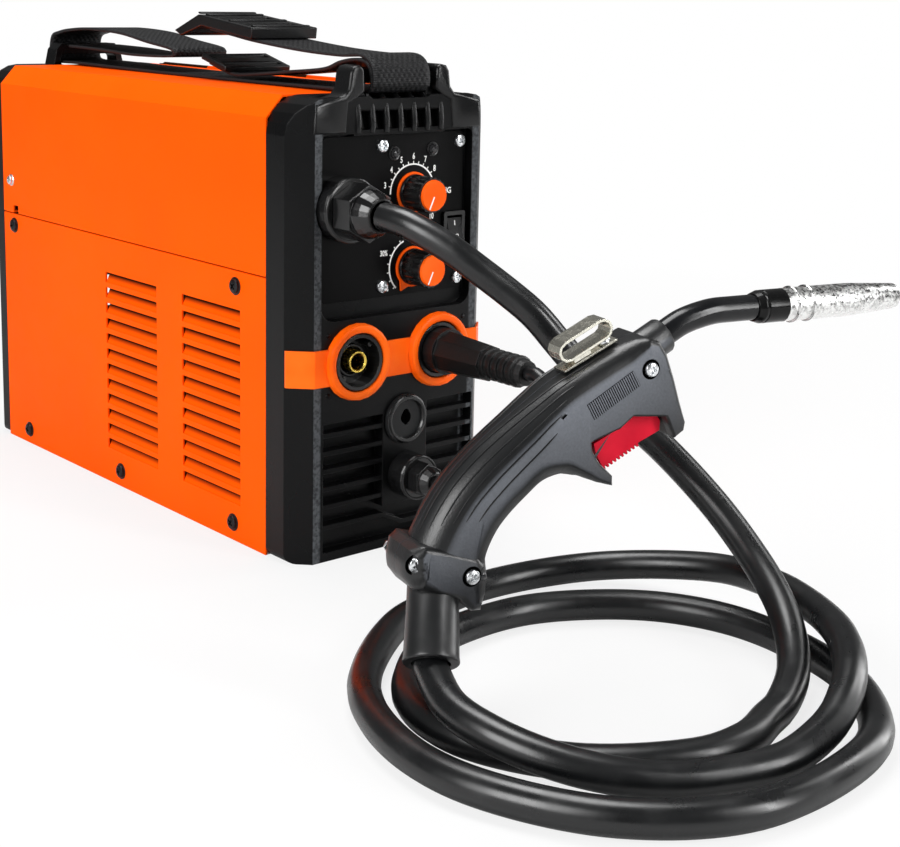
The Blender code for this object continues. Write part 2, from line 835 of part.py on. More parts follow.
def front_grille(body):
    start = FRONT_FACE + MOULD_WALL / 2
    tub = prism_mesh(grille_outline(GRILLE_WALL), "Y", start, FRONT_FACE + RIB_DEPTH + GRILLE_WALL)
    add(body, tool("grille_tub", tub))
    pocket = prism_mesh(grille_outline(), "Y", FRONT_FACE - 1, FRONT_FACE + RIB_DEPTH)
    cut(body, tool("grille_pocket", pocket))
    ribs = bmesh.new()
    bite = RIB_BITE
    level = GRILLE_LEFT_TOP - FIRST_RIB_LEFT
    while level > COLUMN_FOOT + RIB_THICKNESS:
        grille_rib(ribs, GRILLE_LEFT - bite, COLUMN_LEFT + bite, level)
        level -= RIB_PITCH
    level = GRILLE_RIGHT_TOP - FIRST_RIB_RIGHT
    while level > COLUMN_FOOT + RIB_THICKNESS:
        grille_rib(ribs, COLUMN_RIGHT - bite, GRILLE_RIGHT + bite, level)
        level -= RIB_PITCH
    add(body, tool("grille_ribs", ribs))
    low_ribs = bmesh.new()
    half = RIB_THICKNESS / 2
    kink = [
        (GRILLE_LEFT - bite, SLOPE_RIB_LEFT - half),
        (COLUMN_LEFT, SLOPE_RIB_LEFT - half),
        (COLUMN_LEFT + SLOPE_LENGTH, SLOPE_RIB_RIGHT - half),
        (GRILLE_RIGHT + bite, SLOPE_RIB_RIGHT - half),
        (GRILLE_RIGHT + bite, SLOPE_RIB_RIGHT + half),
        (COLUMN_LEFT + SLOPE_LENGTH + half / 2, SLOPE_RIB_RIGHT + half),
        (COLUMN_LEFT + half / 2, SLOPE_RIB_LEFT + half),
        (GRILLE_LEFT - bite, SLOPE_RIB_LEFT + half),
    ]
    prism_mesh(kink, "Y", FRONT_FACE + RIB_SETBACK, FRONT_FACE + RIB_DEPTH + GRILLE_WALL / 2, low_ribs)
    return add(body, tool("grille_low_rib", low_ribs))


def front_holes(body):
    bm = bmesh.new()
    low = FRONT_FACE - 1
    high = FRONT_FACE + MOULD_WALL + 1
    for sign in (-1, 1):
        prism_mesh(polygon(SOCKET_RADIUS + GAP, 28, (sign * SOCKET_X, SOCKET_Z)), "Y", low, high, bm)
    prism_mesh(polygon(LEAD_SHANK + GAP, 20, (LEAD_X, LEAD_Z)), "Y", low, high, bm)
    prism_mesh(polygon(SPARE_HOLE, 20, (COVER_X, COVER_Z)), "Y", low, high, bm)
    return cut(body, tool("front_round_holes", bm))


def front_arch(body):
    add(body, tool("front_arch", arch_mesh(FRONT_FACE, 1, ARCH_DEPTH, ARCH_LEAN)))
    cut(body, tool("front_arch_slot", arch_slot_mesh(FRONT_FACE, 1)))
    return cut(body, tool("front_arch_pockets", arch_pockets_mesh(FRONT_FACE, 1)))


def front_frame():
    body = front_shell()
    front_recess(body)
    front_scoops(body)
    front_grille(body)
    front_holes(body)
    return front_arch(body)


def fan_slots(through):
    """Rows of slots that fill a circle behind the fan."""
    holes = bmesh.new()
    circle = FAN_SIZE / 2 - FAN_SLOT_MARGIN
    for row in range(-FAN_SLOT_ROWS, FAN_SLOT_ROWS + 1):
        rise = row * FAN_SLOT_PITCH
        reach = math.sqrt(circle * circle - rise * rise)
        heights = (FAN_Z + rise - FAN_SLOT_HEIGHT / 2, FAN_Z + rise + FAN_SLOT_HEIGHT / 2)
        for side in (-1, 1):
            block_mesh(sorted((side * FAN_SLOT_BAR, side * reach)), through, heights, holes)
    return tool("fan_slots", holes)


def rear_frame():
    plan = moulding_plan(REAR_START, REAR_FACE, REAR_CHAMFER)
    body = make("rear_frame", prism_mesh(plan, "Z", 0.0, CASE_HEIGHT), black_plastic())
    keep(body, tool("rear_silhouette", prism_mesh(silhouette(), "Y", REAR_START - 1, REAR_FACE + 1)))
    inner = HALF - MOULD_WALL
    bite = REAR_CHAMFER - MOULD_WALL * 0.4
    hollow = [
        (-inner, REAR_START - 1),
        (inner, REAR_START - 1),
        (inner, REAR_FACE - MOULD_WALL - bite),
        (inner - bite, REAR_FACE - MOULD_WALL),
        (-inner + bite, REAR_FACE - MOULD_WALL),
        (-inner, REAR_FACE - MOULD_WALL - bite),
    ]
    cut(body, tool("rear_hollow", prism_mesh(hollow, "Z", MOULD_WALL, ARCH_FOOT - MOULD_WALL)))
    through = (REAR_FACE - MOULD_WALL - 1, REAR_FACE + 1)
    cut(body, fan_slots(through))
    more = bmesh.new()
    wide = REAR_SWITCH_WIDE / 2 - BEZEL_LAP + GAP
    tall = REAR_SWITCH_TALL / 2 - BEZEL_LAP + GAP
    xs = (REAR_SWITCH_X - wide, REAR_SWITCH_X + wide)
    block_mesh(xs, through, (REAR_SWITCH_Z - tall, REAR_SWITCH_Z + tall), more)
    prism_mesh(polygon(MAINS_SHANK + GAP, 20, (MAINS_X, MAINS_Z)), "Y", through[0], through[1], more)
    cut(body, tool("rear_openings", more))
    add(body, tool("rear_arch", arch_mesh(REAR_FACE, -1, REAR_ARCH_DEPTH, 0.0)))
    return cut(body, tool("rear_arch_slot", arch_slot_mesh(REAR_FACE, -1)))


# ---------------------------------------------------------------- front fittings


def colour_band():
    """Band across the front and both chamfers, with a ring round each socket."""
    near = FRONT_FACE - GAP
    slant = GAP * 0.42
    edge = HALF - GAP * 0.1
    far = MOULD_FRONT_CORNER
    thick = BAND_THICKNESS
    plan = [
        (-edge, far - GAP * 1.5),
        (-HALF + FRONT_CHAMFER - slant, near),
        (HALF - FRONT_CHAMFER + slant, near),
        (edge, far - GAP * 1.5),
        (edge, far - GAP * 1.5 - thick * 1.35),
        (HALF - FRONT_CHAMFER + slant + thick * 0.1, near - thick),
        (-HALF + FRONT_CHAMFER - slant - thick * 0.1, near - thick),
        (-edge, far - GAP * 1.5 - thick * 1.35),
    ]
    body = make("colour_band", prism_mesh(plan, "Z", BAND_BOTTOM, BAND_TOP), orange_plastic())
    rings = bmesh.new()
    bores = bmesh.new()
    for sign in (-1, 1):
        face = FRONT_FACE - RING_DEPTH
        profile = [(0.0, near), (RING_RADIUS, near), (RING_RADIUS - 0.6, face), (0.0, face)]
        turned_mesh(profile, (sign * SOCKET_X, SOCKET_Z), "Y", 24, bm=rings)
        bore = polygon(SOCKET_RADIUS + GAP, 32, (sign * SOCKET_X, SOCKET_Z))
        prism_mesh(bore, "Y", face - 1, near + 1, bores)
    add(body, tool("band_rings", rings))
    return cut(body, tool("band_bores", bores))


def control_plate():
    outline = rounded_outline(-PLATE_HALF, PLATE_HALF, PLATE_BOTTOM, PLATE_TOP, 3.0, 3.0, 3)
    back = PLATE_FRONT + PLATE_THICKNESS
    body = make("control_plate", prism_mesh(outline, "Y", PLATE_FRONT, back), black_plastic())
    holes = bmesh.new()
    low = PLATE_FRONT - 1
    high = back + 1
    prism_mesh(polygon(GLAND_SHANK + GAP, 24, (TORCH_X, TORCH_Z)), "Y", low, high, holes)
    for height in (UPPER_KNOB_Z, LOWER_KNOB_Z):
        prism_mesh(polygon(SHAFT_RADIUS + GAP * 4, 16, (KNOB_X, height)), "Y", low, high, holes)
    for lamp in (LEFT_LAMP, RIGHT_LAMP):
        prism_mesh(polygon(LAMP_RADIUS - LAMP_LIP + GAP, 12, lamp), "Y", low, high, holes)
    xs = (SWITCH_X - SWITCH_BODY_WIDE / 2 - GAP, SWITCH_X + SWITCH_BODY_WIDE / 2 + GAP)
    zs = (SWITCH_Z - SWITCH_BODY_TALL / 2 - GAP, SWITCH_Z + SWITCH_BODY_TALL / 2 + GAP)
    block_mesh(xs, (low, high), zs, holes)
    return cut(body, tool("plate_holes", holes))


def torch_gland_body():
    face = PLATE_FRONT - GAP
    front = face - GLAND_FLANGE_DEPTH
    back = RECESS_FLOOR + GLAND_SHANK_LENGTH
    bore = CABLE_DIAMETER / 2 + GAP
    profile = [
        (bore, front),
        (GLAND_FLANGE - 1.5, front),
        (GLAND_FLANGE, front + 1.5),
        (GLAND_FLANGE, face),
        (GLAND_SHANK, face),
        (GLAND_SHANK, back),
        (bore, back),
    ]
    bm = turned_mesh(profile, (TORCH_X, TORCH_Z), "Y", 24, closed=True)
    return make("torch_gland_body", bm, black_plastic())


def torch_gland_nut():
    """Hexagonal nut that turns into a dome with the cable's mouth."""
    start = PLATE_FRONT - GAP - GLAND_FLANGE_DEPTH - GAP
    mouth = start - GLAND_NUT_DEPTH - GLAND_DOME_DEPTH
    body = make(
        "torch_gland_nut",
        prism_mesh(polygon(GLAND_NUT, 6, (TORCH_X, TORCH_Z), 30), "Y", start - GLAND_NUT_DEPTH, start),
        black_plastic(),
    )
    low = start - GLAND_NUT_DEPTH
    inner = GLAND_NUT - 2.4
    profile = [
        (0.0, low + 2.0),
        (inner, low + 2.0),
        (inner, low - 2.0),
        (inner - 1.2, low - 5.5),
        (inner - 3.4, mouth + 0.8),
        (inner - 4.0, mouth),
        (0.0, mouth),
    ]
    add(body, tool("gland_dome", turned_mesh(profile, (TORCH_X, TORCH_Z), "Y", 22)))
    bore = polygon(CABLE_DIAMETER / 2 + GAP, 24, (TORCH_X, TORCH_Z))
    return cut(body, tool("gland_bore", prism_mesh(bore, "Y", mouth - 1, start + 1)))


def knob(name, height):
    """Fluted knob with a skirt, bored for its shaft from behind."""
    start = PLATE_FRONT - GAP
    end = start - KNOB_LENGTH
    outline = []
    for index in range(KNOB_FLUTES * 2):
        radius = KNOB_RADIUS if index % 2 == 0 else KNOB_RADIUS - FLUTE_DEPTH
        angle = math.radians(index * 180.0 / KNOB_FLUTES)
        outline.append((KNOB_X + radius * math.cos(angle), height + radius * math.sin(angle)))
    body = make(name, prism_mesh(outline, "Y", end, start), black_plastic())
    bore = polygon(SHAFT_RADIUS + GAP, 12, (KNOB_X, height))
    cut(body, tool(name + "_bore", prism_mesh(bore, "Y", end + KNOB_FACE, start + 1)))
    return set_pivot(body, (KNOB_X, start, height))


def knob_cap(name, height):
    start = PLATE_FRONT - GAP - KNOB_LENGTH - GAP
    end = start - KNOB_CAP_THICKNESS
    profile = [(0.0, start), (KNOB_CAP_RADIUS, start), (KNOB_CAP_RADIUS - 0.4, end), (0.0, end)]
    made = make(name, turned_mesh(profile, (KNOB_X, height), "Y", 22), orange_plastic())
    return set_pivot(made, (KNOB_X, PLATE_FRONT - GAP, height))



def switch_housing(name, x, z, wide, tall, face, toward):
    """Bezel and box of a rocker switch, open at the front."""
    front = face - toward * (GAP + BEZEL_THICKNESS)
    body_wide = wide - 2 * BEZEL_LAP
    body_tall = tall - 2 * BEZEL_LAP
    bezel = rounded_outline(x - wide / 2, x + wide / 2, z - tall / 2, z + tall / 2, 1.2, 1.2, 2)
    made = make(name, prism_mesh(bezel, "Y", front, face - toward * GAP), black_plastic())
    xs = (x - body_wide / 2, x + body_wide / 2)
    zs = (z - body_tall / 2, z + body_tall / 2)
    ys = sorted((front + toward * 0.5, face + toward * SWITCH_DEPTH))
    add(made, tool(name + "_box", block_mesh(xs, ys, zs)))
    xs = (x - body_wide / 2 + SWITCH_WALL, x + body_wide / 2 - SWITCH_WALL)
    zs = (z - body_tall / 2 + SWITCH_WALL, z + body_tall / 2 - SWITCH_WALL)
    ys = sorted((front - toward * 1.0, face + toward * (SWITCH_DEPTH - 2.0)))
    return cut(made, tool(name + "_cavity", block_mesh(xs, ys, zs)))


def switch_rocker(name, x, z, wide, tall, face, toward):
    """Rocker with its hollow front, raised at the lower end."""
    front = face - toward * (GAP + BEZEL_THICKNESS)
    half = tall / 2 - BEZEL_LAP - SWITCH_WALL - GAP * 2
    pivot = face + toward * 3.0
    raised = front - toward * 3.0
    outline = [
        (raised, -half * 0.86),
        (front - toward * 0.6, 0.0),
        (front + toward * 0.4, half * 0.88),
        (face + toward * 2.0, half * 0.8),
        (pivot + toward * 3.2, 2.6),
        (pivot + toward * 3.2, -2.6),
        (face + toward * 2.0, -half * 0.78),
    ]
    outline = [(a, z + b) for a, b in outline]
    reach = wide / 2 - BEZEL_LAP - SWITCH_WALL - GAP
    made = make(name, prism_mesh(outline, "X", x - reach, x + reach), black_plastic())
    return set_pivot(made, (x, pivot, z))


def signal_lens(name, centre):
    face = PLATE_FRONT - GAP
    profile = [
        (0.0, face - 2.2),
        (LAMP_RADIUS * 0.6, face - 1.9),
        (LAMP_RADIUS, face - 0.9),
        (LAMP_RADIUS, face),
        (LAMP_RADIUS - LAMP_LIP, face),
        (LAMP_RADIUS - LAMP_LIP, face + 8.0),
        (0.0, face + 8.0),
    ]
    return make(name, turned_mesh(profile, centre, "Y", 12), lens())


def socket(name, x):
    front = SOCKET_FACE
    back = FRONT_FACE + SOCKET_BACK
    hole = CONTACT_RADIUS + GAP
    floor = front + SOCKET_RECESS_DEPTH
    profile = [
        (hole, floor),
        (SOCKET_RECESS, floor),
        (SOCKET_RECESS, front),
        (SOCKET_RADIUS - 0.6, front),
        (SOCKET_RADIUS, front + 0.6),
        (SOCKET_RADIUS, back - 8.0),
        (SOCKET_RADIUS - 5.0, back),
        (hole, back),
    ]
    return make(name, turned_mesh(profile, (x, SOCKET_Z), "Y", 22, closed=True), black_plastic())


def socket_contact(name, x):
    front = FRONT_FACE - 1.8
    back = FRONT_FACE + SOCKET_BACK + 6.0
    depth = front + 18.0
    profile = [
        (0.0, depth),
        (CONTACT_BORE, depth - 2.0),
        (CONTACT_BORE, front + 0.6),
        (CONTACT_BORE + 0.5, front),
        (CONTACT_RADIUS - 0.6, front),
        (CONTACT_RADIUS, front + 0.8),
        (CONTACT_RADIUS, back),
        (0.0, back),
    ]
    return make(name, turned_mesh(profile, (x, SOCKET_Z), "Y", 16), brass())


def polarity_plug():
    """Plug body: tube round the contact, octagonal boot and ribbed tail."""
    seat = SOCKET_FACE
    nose = seat + SOCKET_RECESS_DEPTH - GAP
    end = seat - PLUG_LENGTH
    hole = CONTACT_RADIUS + GAP * 2
    boot_end = end + PLUG_TAIL_LENGTH
    face = seat - PLUG_COLLAR_LENGTH
    profile = [
        (0.0, face),
        (PLUG_COLLAR, face),
        (PLUG_COLLAR, nose),
        (hole, nose),
        (hole, seat - 1.5),
        (0.0, seat - 1.5),
    ]
    centre = (SOCKET_X, SOCKET_Z)
    body = make("polarity_plug", turned_mesh(profile, centre, "Y", 18), black_rubber())
    boot = bmesh.new()
    turned_mesh(
        [(0.0, face + 2.0), (PLUG_BOOT, face + 2.0), (PLUG_TAIL + 1.4, boot_end), (0.0, boot_end)],
        centre,
        "Y",
        8,
        bm=boot,
    )
    add(body, tool("plug_boot", boot))
    ribs = [(0.0, boot_end + 2.0), (PLUG_TAIL, boot_end + 2.0)]
    pitch = PLUG_TAIL_LENGTH / (PLUG_RIBS + 0.5)
    for index in range(PLUG_RIBS):
        start = boot_end - index * pitch
        ribs += [(PLUG_TAIL, start), (PLUG_TAIL, start - pitch * 0.5)]
        ribs += [(PLUG_TAIL - 1.3, start - pitch * 0.6), (PLUG_TAIL - 1.3, start - pitch * 0.9)]
    ribs += [(PLUG_TAIL - 2.0, end), (0.0, end)]
    add(body, tool("plug_tail", turned_mesh(ribs, centre, "Y", 16)))
    pin_hole = polygon(PLUG_PIN + GAP, 16, centre)
    return cut(body, tool("plug_pin_hole", prism_mesh(pin_hole, "Y", seat - PLUG_PIN_ROOT, seat)))


def polarity_plug_pin():
    seat = SOCKET_FACE
    profile = [
        (0.0, seat - PLUG_PIN_ROOT + GAP),
        (PLUG_PIN, seat - PLUG_PIN_ROOT + GAP),
        (PLUG_PIN, seat + 14.0),
        (PLUG_PIN - 1.2, seat + 15.5),
        (0.0, seat + 15.5),
    ]
    return make("polarity_plug_pin", turned_mesh(profile, (SOCKET_X, SOCKET_Z), "Y", 12), brass())


def lead_gland_body():
    face = FRONT_FACE - GAP
    front = face - LEAD_BOSS_DEPTH
    bore = LEAD_DIAMETER / 2 + GAP
    profile = [
        (bore, front),
        (LEAD_BOSS - 1.0, front),
        (LEAD_BOSS, front + 1.5),
        (LEAD_BOSS, face),
        (LEAD_SHANK, face),
        (LEAD_SHANK, face + LEAD_SHANK_LENGTH),
        (bore, face + LEAD_SHANK_LENGTH),
    ]
    bm = turned_mesh(profile, (LEAD_X, LEAD_Z), "Y", 18, closed=True)
    return make("lead_gland_body", bm, black_plastic())


def lead_gland_nut():
    start = FRONT_FACE - GAP - LEAD_BOSS_DEPTH - GAP
    mouth = start - LEAD_NUT_DEPTH
    centre = (LEAD_X, LEAD_Z)
    body = make(
        "lead_gland_nut",
        prism_mesh(polygon(LEAD_NUT, 6, centre, 30), "Y", start - LEAD_NUT_DEPTH * 0.55, start),
        black_plastic(),
    )
    low = start - LEAD_NUT_DEPTH * 0.55
    profile = [
        (0.0, low + 1.5),
        (LEAD_NUT - 1.6, low + 1.5),
        (LEAD_NUT - 1.6, low - 1.5),
        (LEAD_NUT - 3.4, mouth + 0.6),
        (LEAD_NUT - 4.0, mouth),
        (0.0, mouth),
    ]
    add(body, tool("lead_dome", turned_mesh(profile, centre, "Y", 16)))
    bore = polygon(LEAD_DIAMETER / 2 + GAP, 16, centre)
    return cut(body, tool("lead_bore", prism_mesh(bore, "Y", mouth - 1, start + 1)))


def blank_cover():
    """Ring and disc that close a spare opening, with a keyhole."""
    face = FRONT_FACE - GAP
    profile = [
        (0.0, face),
        (COVER_RING, face),
        (COVER_RING, face - 1.6),
        (COVER_DISC + 0.6, face - 2.2),
        (COVER_DISC, face - 0.9),
        (0.0, face - 0.9),
    ]
    body = make("blank_cover", turned_mesh(profile, (COVER_X, COVER_Z), "Y", 22), black_plastic())
    key = [(COVER_X - 1.2, COVER_Z - 3.6), (COVER_X + 1.2, COVER_Z - 3.6), (COVER_X + 1.2, COVER_Z + 2.0)]
    key += arc((COVER_X, COVER_Z + 3.0), 2.4, -30, 210, 6)
    key += [(COVER_X - 1.2, COVER_Z + 2.0)]
    return cut(body, tool("cover_keyhole", prism_mesh(key, "Y", face - 4, face + 1)))


# ---------------------------------------------------------------- inside


def bay_wall():
    """Upright partition with a foot on the base pan."""
    foot = SHEET + GAP
    section = [
        (WALL_X, foot),
        (WALL_X + SHEET + 12.0, foot),
        (WALL_X + SHEET + 12.0, foot + SHEET),
        (WALL_X + SHEET, foot + SHEET),
        (WALL_X + SHEET, CASE_HEIGHT - SHEET - 3.0),
        (WALL_X, CASE_HEIGHT - SHEET - 3.0),
    ]
    bm = prism_mesh(section, "Y", CASE_FRONT + 12.0, CASE_REAR - FAN_DEPTH - 6.0)
    return make("bay_wall", bm, zinc_sheet())


def wire_bay_deck():
    left = -INNER_HALF
    right = WALL_X - GAP
    section = [
        (left, DECK_HEIGHT),
        (right, DECK_HEIGHT),
        (right, DECK_HEIGHT + SHEET),
        (left + SHEET, DECK_HEIGHT + SHEET),
        (left + SHEET, DECK_HEIGHT + 12.0),
        (left, DECK_HEIGHT + 12.0),
    ]
    bm = prism_mesh(section, "Y", CASE_FRONT + 12.0, CASE_REAR - 8.0)
    return make("wire_bay_deck", bm, zinc_sheet())


SPOOL_Z = DECK_HEIGHT + SHEET + SPOOL_LIFT + SPOOL_RADIUS


def spool_spindle():
    wall = WALL_X - GAP
    outer = TORCH_X - SPOOL_WIDTH / 2
    inner = TORCH_X + SPOOL_WIDTH / 2
    profile = [
        (0.0, wall),
        (16.0, wall),
        (16.0, wall - 3.0),
        (11.0, wall - 4.0),
        (11.0, inner + GAP),
        (SPINDLE_RADIUS, inner + GAP),
        (SPINDLE_RADIUS, outer - GAP),
        (12.0, outer - GAP),
        (11.0, outer - GAP - 3.0),
        (0.0, outer - GAP - 3.0),
    ]
    return make("spool_spindle", turned_mesh(profile, (SPOOL_Y, SPOOL_Z), "X", 18), black_plastic())



def wire_spool():
    low = TORCH_X - SPOOL_WIDTH / 2
    high = TORCH_X + SPOOL_WIDTH / 2
    bore = SPINDLE_RADIUS + RUNNING
    profile = [
        (bore, low),
        (SPOOL_RADIUS, low),
        (SPOOL_RADIUS, low + SPOOL_FLANGE),
        (SPOOL_HUB, low + SPOOL_FLANGE),
        (SPOOL_HUB, high - SPOOL_FLANGE),
        (SPOOL_RADIUS, high - SPOOL_FLANGE),
        (SPOOL_RADIUS, high),
        (bore, high),
    ]
    made = make(
        "wire_spool", turned_mesh(profile, (SPOOL_Y, SPOOL_Z), "X", 24, closed=True), black_plastic()
    )
    return set_pivot(made, (TORCH_X, SPOOL_Y, SPOOL_Z))


def wire_winding():
    low = TORCH_X - SPOOL_WIDTH / 2 + SPOOL_FLANGE + GAP
    high = TORCH_X + SPOOL_WIDTH / 2 - SPOOL_FLANGE - GAP
    profile = [
        (SPOOL_HUB + GAP, low),
        (WINDING_RADIUS - 1.0, low),
        (WINDING_RADIUS, low + 1.5),
        (WINDING_RADIUS, high - 1.5),
        (WINDING_RADIUS - 1.0, high),
        (SPOOL_HUB + GAP, high),
    ]
    made = make("wire_winding", turned_mesh(profile, (SPOOL_Y, SPOOL_Z), "X", 22, closed=True), copper())
    return set_pivot(made, (TORCH_X, SPOOL_Y, SPOOL_Z))


WIRE_Z = TORCH_Z
DRIVE_Z = WIRE_Z - WIRE_GAP / 2 - DRIVE_RADIUS
PRESSURE_Z = WIRE_Z + WIRE_GAP / 2 + PRESSURE_RADIUS
FEEDER_FACE = TORCH_X + ROLLER_WIDTH / 2 + 2.0
AXLE_RADIUS = 4.0


def feeder_body():
    """Plate on a foot, with the axles of both rollers and the wire guides."""
    foot = DECK_HEIGHT + SHEET + GAP
    top = PRESSURE_Z + 8.0
    back = FEEDER_FACE + FEEDER_PLATE
    section = [
        (FEEDER_FACE, foot),
        (back + 14.0, foot),
        (back + 14.0, foot + 5.0),
        (back, foot + 5.0),
        (back, top),
        (FEEDER_FACE, top),
    ]
    low = FEEDER_Y - 30.0
    high = FEEDER_Y + 30.0
    body = make("feeder_body", prism_mesh(section, "Y", low, high), black_metal())
    axles = bmesh.new()
    for height in (DRIVE_Z, PRESSURE_Z):
        tip = TORCH_X - ROLLER_WIDTH / 2 - 2.0
        profile = [
            (0.0, FEEDER_FACE + 2.0),
            (AXLE_RADIUS + 2.5, FEEDER_FACE + 2.0),
            (AXLE_RADIUS + 2.5, TORCH_X + ROLLER_WIDTH / 2 + GAP),
            (AXLE_RADIUS, TORCH_X + ROLLER_WIDTH / 2 + GAP),
            (AXLE_RADIUS, tip),
            (0.0, tip),
        ]
        turned_mesh(profile, (FEEDER_Y, height), "X", 12, bm=axles)
    add(body, tool("feeder_axles", axles))
    guides = bmesh.new()
    reach = (TORCH_X - 5.0, FEEDER_FACE + 2.0)
    for ends in ((low + 0.5, low + 10.0), (high - 8.0, high - 0.5)):
        block_mesh(reach, ends, (WIRE_Z - 5.0, WIRE_Z + 5.0), guides)
    add(body, tool("feeder_guides", guides))
    start = low + 2.0
    end = RECESS_FLOOR + GLAND_SHANK_LENGTH + GAP
    tube = [(0.0, start), (4.0, start), (4.0, end + 8.0), (7.0, end + 6.0), (7.0, end), (0.0, end)]
    add(body, tool("feeder_tube", turned_mesh(tube, (TORCH_X, WIRE_Z), "Y", 12)))
    rise = PRESSURE_Z + 8.0
    knob_x = FEEDER_FACE + FEEDER_PLATE / 2
    stem = [(0.0, rise - 2.0), (3.0, rise - 2.0), (3.0, rise + 4.0), (7.5, rise + 6.0)]
    stem += [(7.5, rise + 18.0), (5.5, rise + 20.0), (0.0, rise + 20.0)]
    add(body, tool("tension_knob", turned_mesh(stem, (knob_x, FEEDER_Y), "Z", 12)))
    bore = bmesh.new()
    prism_mesh(polygon(1.6, 10, (TORCH_X, WIRE_Z)), "Y", end - 1, low + 11, bore)
    prism_mesh(polygon(1.6, 10, (TORCH_X, WIRE_Z)), "Y", high - 9, high + 1, bore)
    return cut(body, tool("feeder_bores", bore))


def roller(name, radius, height):
    low = TORCH_X - ROLLER_WIDTH / 2
    high = TORCH_X + ROLLER_WIDTH / 2
    groove = 0.8
    bore = AXLE_RADIUS + RUNNING
    profile = [
        (bore, low),
        (radius - 1.0, low),
        (radius, low + 1.0),
        (radius, TORCH_X - groove),
        (radius - groove, TORCH_X),
        (radius, TORCH_X + groove),
        (radius, high - 1.0),
        (radius - 1.0, high),
        (bore, high),
    ]
    made = make(name, turned_mesh(profile, (FEEDER_Y, height), "X", 18, closed=True), bright_steel())
    return set_pivot(made, (TORCH_X, FEEDER_Y, height))


def feed_motor():
    start = FEEDER_FACE + FEEDER_PLATE + GAP
    end = start + MOTOR_LENGTH
    profile = [
        (0.0, start),
        (MOTOR_RADIUS, start),
        (MOTOR_RADIUS, end - 2.0),
        (MOTOR_RADIUS - 2.0, end),
        (0.0, end),
    ]
    return make("feed_motor", turned_mesh(profile, (FEEDER_Y, DRIVE_Z), "X", 18), zinc_sheet())




BOARD_X = 40.0
BOARD_THICKNESS = 1.6


def inverter_board():
    foot = SHEET + GAP
    section = [(BOARD_X, foot), (BOARD_X + BOARD_THICKNESS, foot)]
    section += [(BOARD_X + BOARD_THICKNESS, 128.0), (BOARD_X, 128.0)]
    return make("inverter_board", prism_mesh(section, "Y", -115.0, 105.0), board_green())



def transformer():
    """Laminated core standing on the base pan with its winding round the middle."""
    foot = SHEET + GAP
    body = make("transformer", block_mesh((-45.0, -5.0), (0.0, 70.0), (foot, foot + 52.0)), black_metal())
    windows = bmesh.new()
    for low, high in ((12.0, 28.0), (42.0, 58.0)):
        block_mesh((-46.0, -4.0), (low, high), (foot + 10.0, foot + 42.0), windows)
    return cut(body, tool("core_windows", windows))



def fan_frame():
    back = REAR_FACE - MOULD_WALL - GAP
    front = back - FAN_DEPTH
    half = FAN_SIZE / 2
    outline = rounded_outline(-half, half, FAN_Z - half, FAN_Z + half, 4.0, 4.0, 2)
    body = make("fan_frame", prism_mesh(outline, "Y", front, back), black_plastic())
    duct = polygon(half - FAN_RIM, 32, (0.0, FAN_Z))
    cut(body, tool("fan_duct", prism_mesh(duct, "Y", front - 1, back + 1)))
    spokes = bmesh.new()
    for index in range(4):
        angle = math.radians(45 + 90 * index)
        along = Vector((math.cos(angle), math.sin(angle)))
        across = Vector((-along.y, along.x)) * 2.0
        corners = [along * 14.0 - across, along * (half - 1.0) - across]
        corners += [along * (half - 1.0) + across, along * 14.0 + across]
        outline = [(corner.x, FAN_Z + corner.y) for corner in corners]
        prism_mesh(outline, "Y", front + 0.5, front + 3.0, spokes)
    add(body, tool("fan_spokes", spokes))
    profile = [
        (0.0, front + 0.3),
        (18.0, front + 0.3),
        (18.0, front + 3.5),
        (FAN_AXLE, front + 3.5),
        (FAN_AXLE, back - 5.0),
        (0.0, back - 5.0),
    ]
    return add(body, tool("fan_hub", turned_mesh(profile, (0.0, FAN_Z), "Y", 16)))


def fan_rotor():
    """Hub with pitched blades on the fan's own axle."""
    back = REAR_FACE - MOULD_WALL - GAP
    front = back - FAN_DEPTH + 3.5 + 0.7
    end = back - 2.0
    profile = [
        (0.0, end - 2.5),
        (FAN_AXLE + RUNNING, end - 2.5),
        (FAN_AXLE + RUNNING, front),
        (FAN_HUB, front),
        (FAN_HUB, end),
        (0.0, end),
    ]
    body = make("fan_rotor", turned_mesh(profile, (0.0, FAN_Z), "Y", 16), black_plastic())
    blades = bmesh.new()
    reach = FAN_SIZE / 2 - FAN_RIM - 1.5
    for index in range(FAN_BLADES):
        turn = Matrix.Rotation(math.tau * index / FAN_BLADES, 4, "Y")
        start = len(blades.verts)
        section = [(-9.0, front + 1.5), (-7.0, front + 1.0), (9.0, end - 1.5), (7.5, end - 1.0)]
        prism_mesh(section, "Z", FAN_HUB - 2.0, reach, blades)
        blades.verts.ensure_lookup_table()
        for vert in blades.verts[start:]:
            moved = turn @ Vector((vert.co.x, 0.0, vert.co.z))
            vert.co = (moved.x, vert.co.y, FAN_Z + moved.z)
    add(body, tool("fan_blades", blades))
    return set_pivot(body, (0.0, end, FAN_Z))


def mains_gland():
    face = REAR_FACE + GAP
    profile = [
        (0.0, face - MAINS_SHANK_LENGTH),
        (MAINS_SHANK, face - MAINS_SHANK_LENGTH),
        (MAINS_SHANK, face),
        (12.0, face),
        (12.0, face + 6.0),
        (9.5, face + 14.0),
        (6.0, face + 15.0),
        (5.0, face + 11.0),
        (0.0, face + 11.0),
    ]
    return make("mains_gland", turned_mesh(profile, (MAINS_X, MAINS_Z), "Y", 16), black_plastic())


# ---------------------------------------------------------------- strap


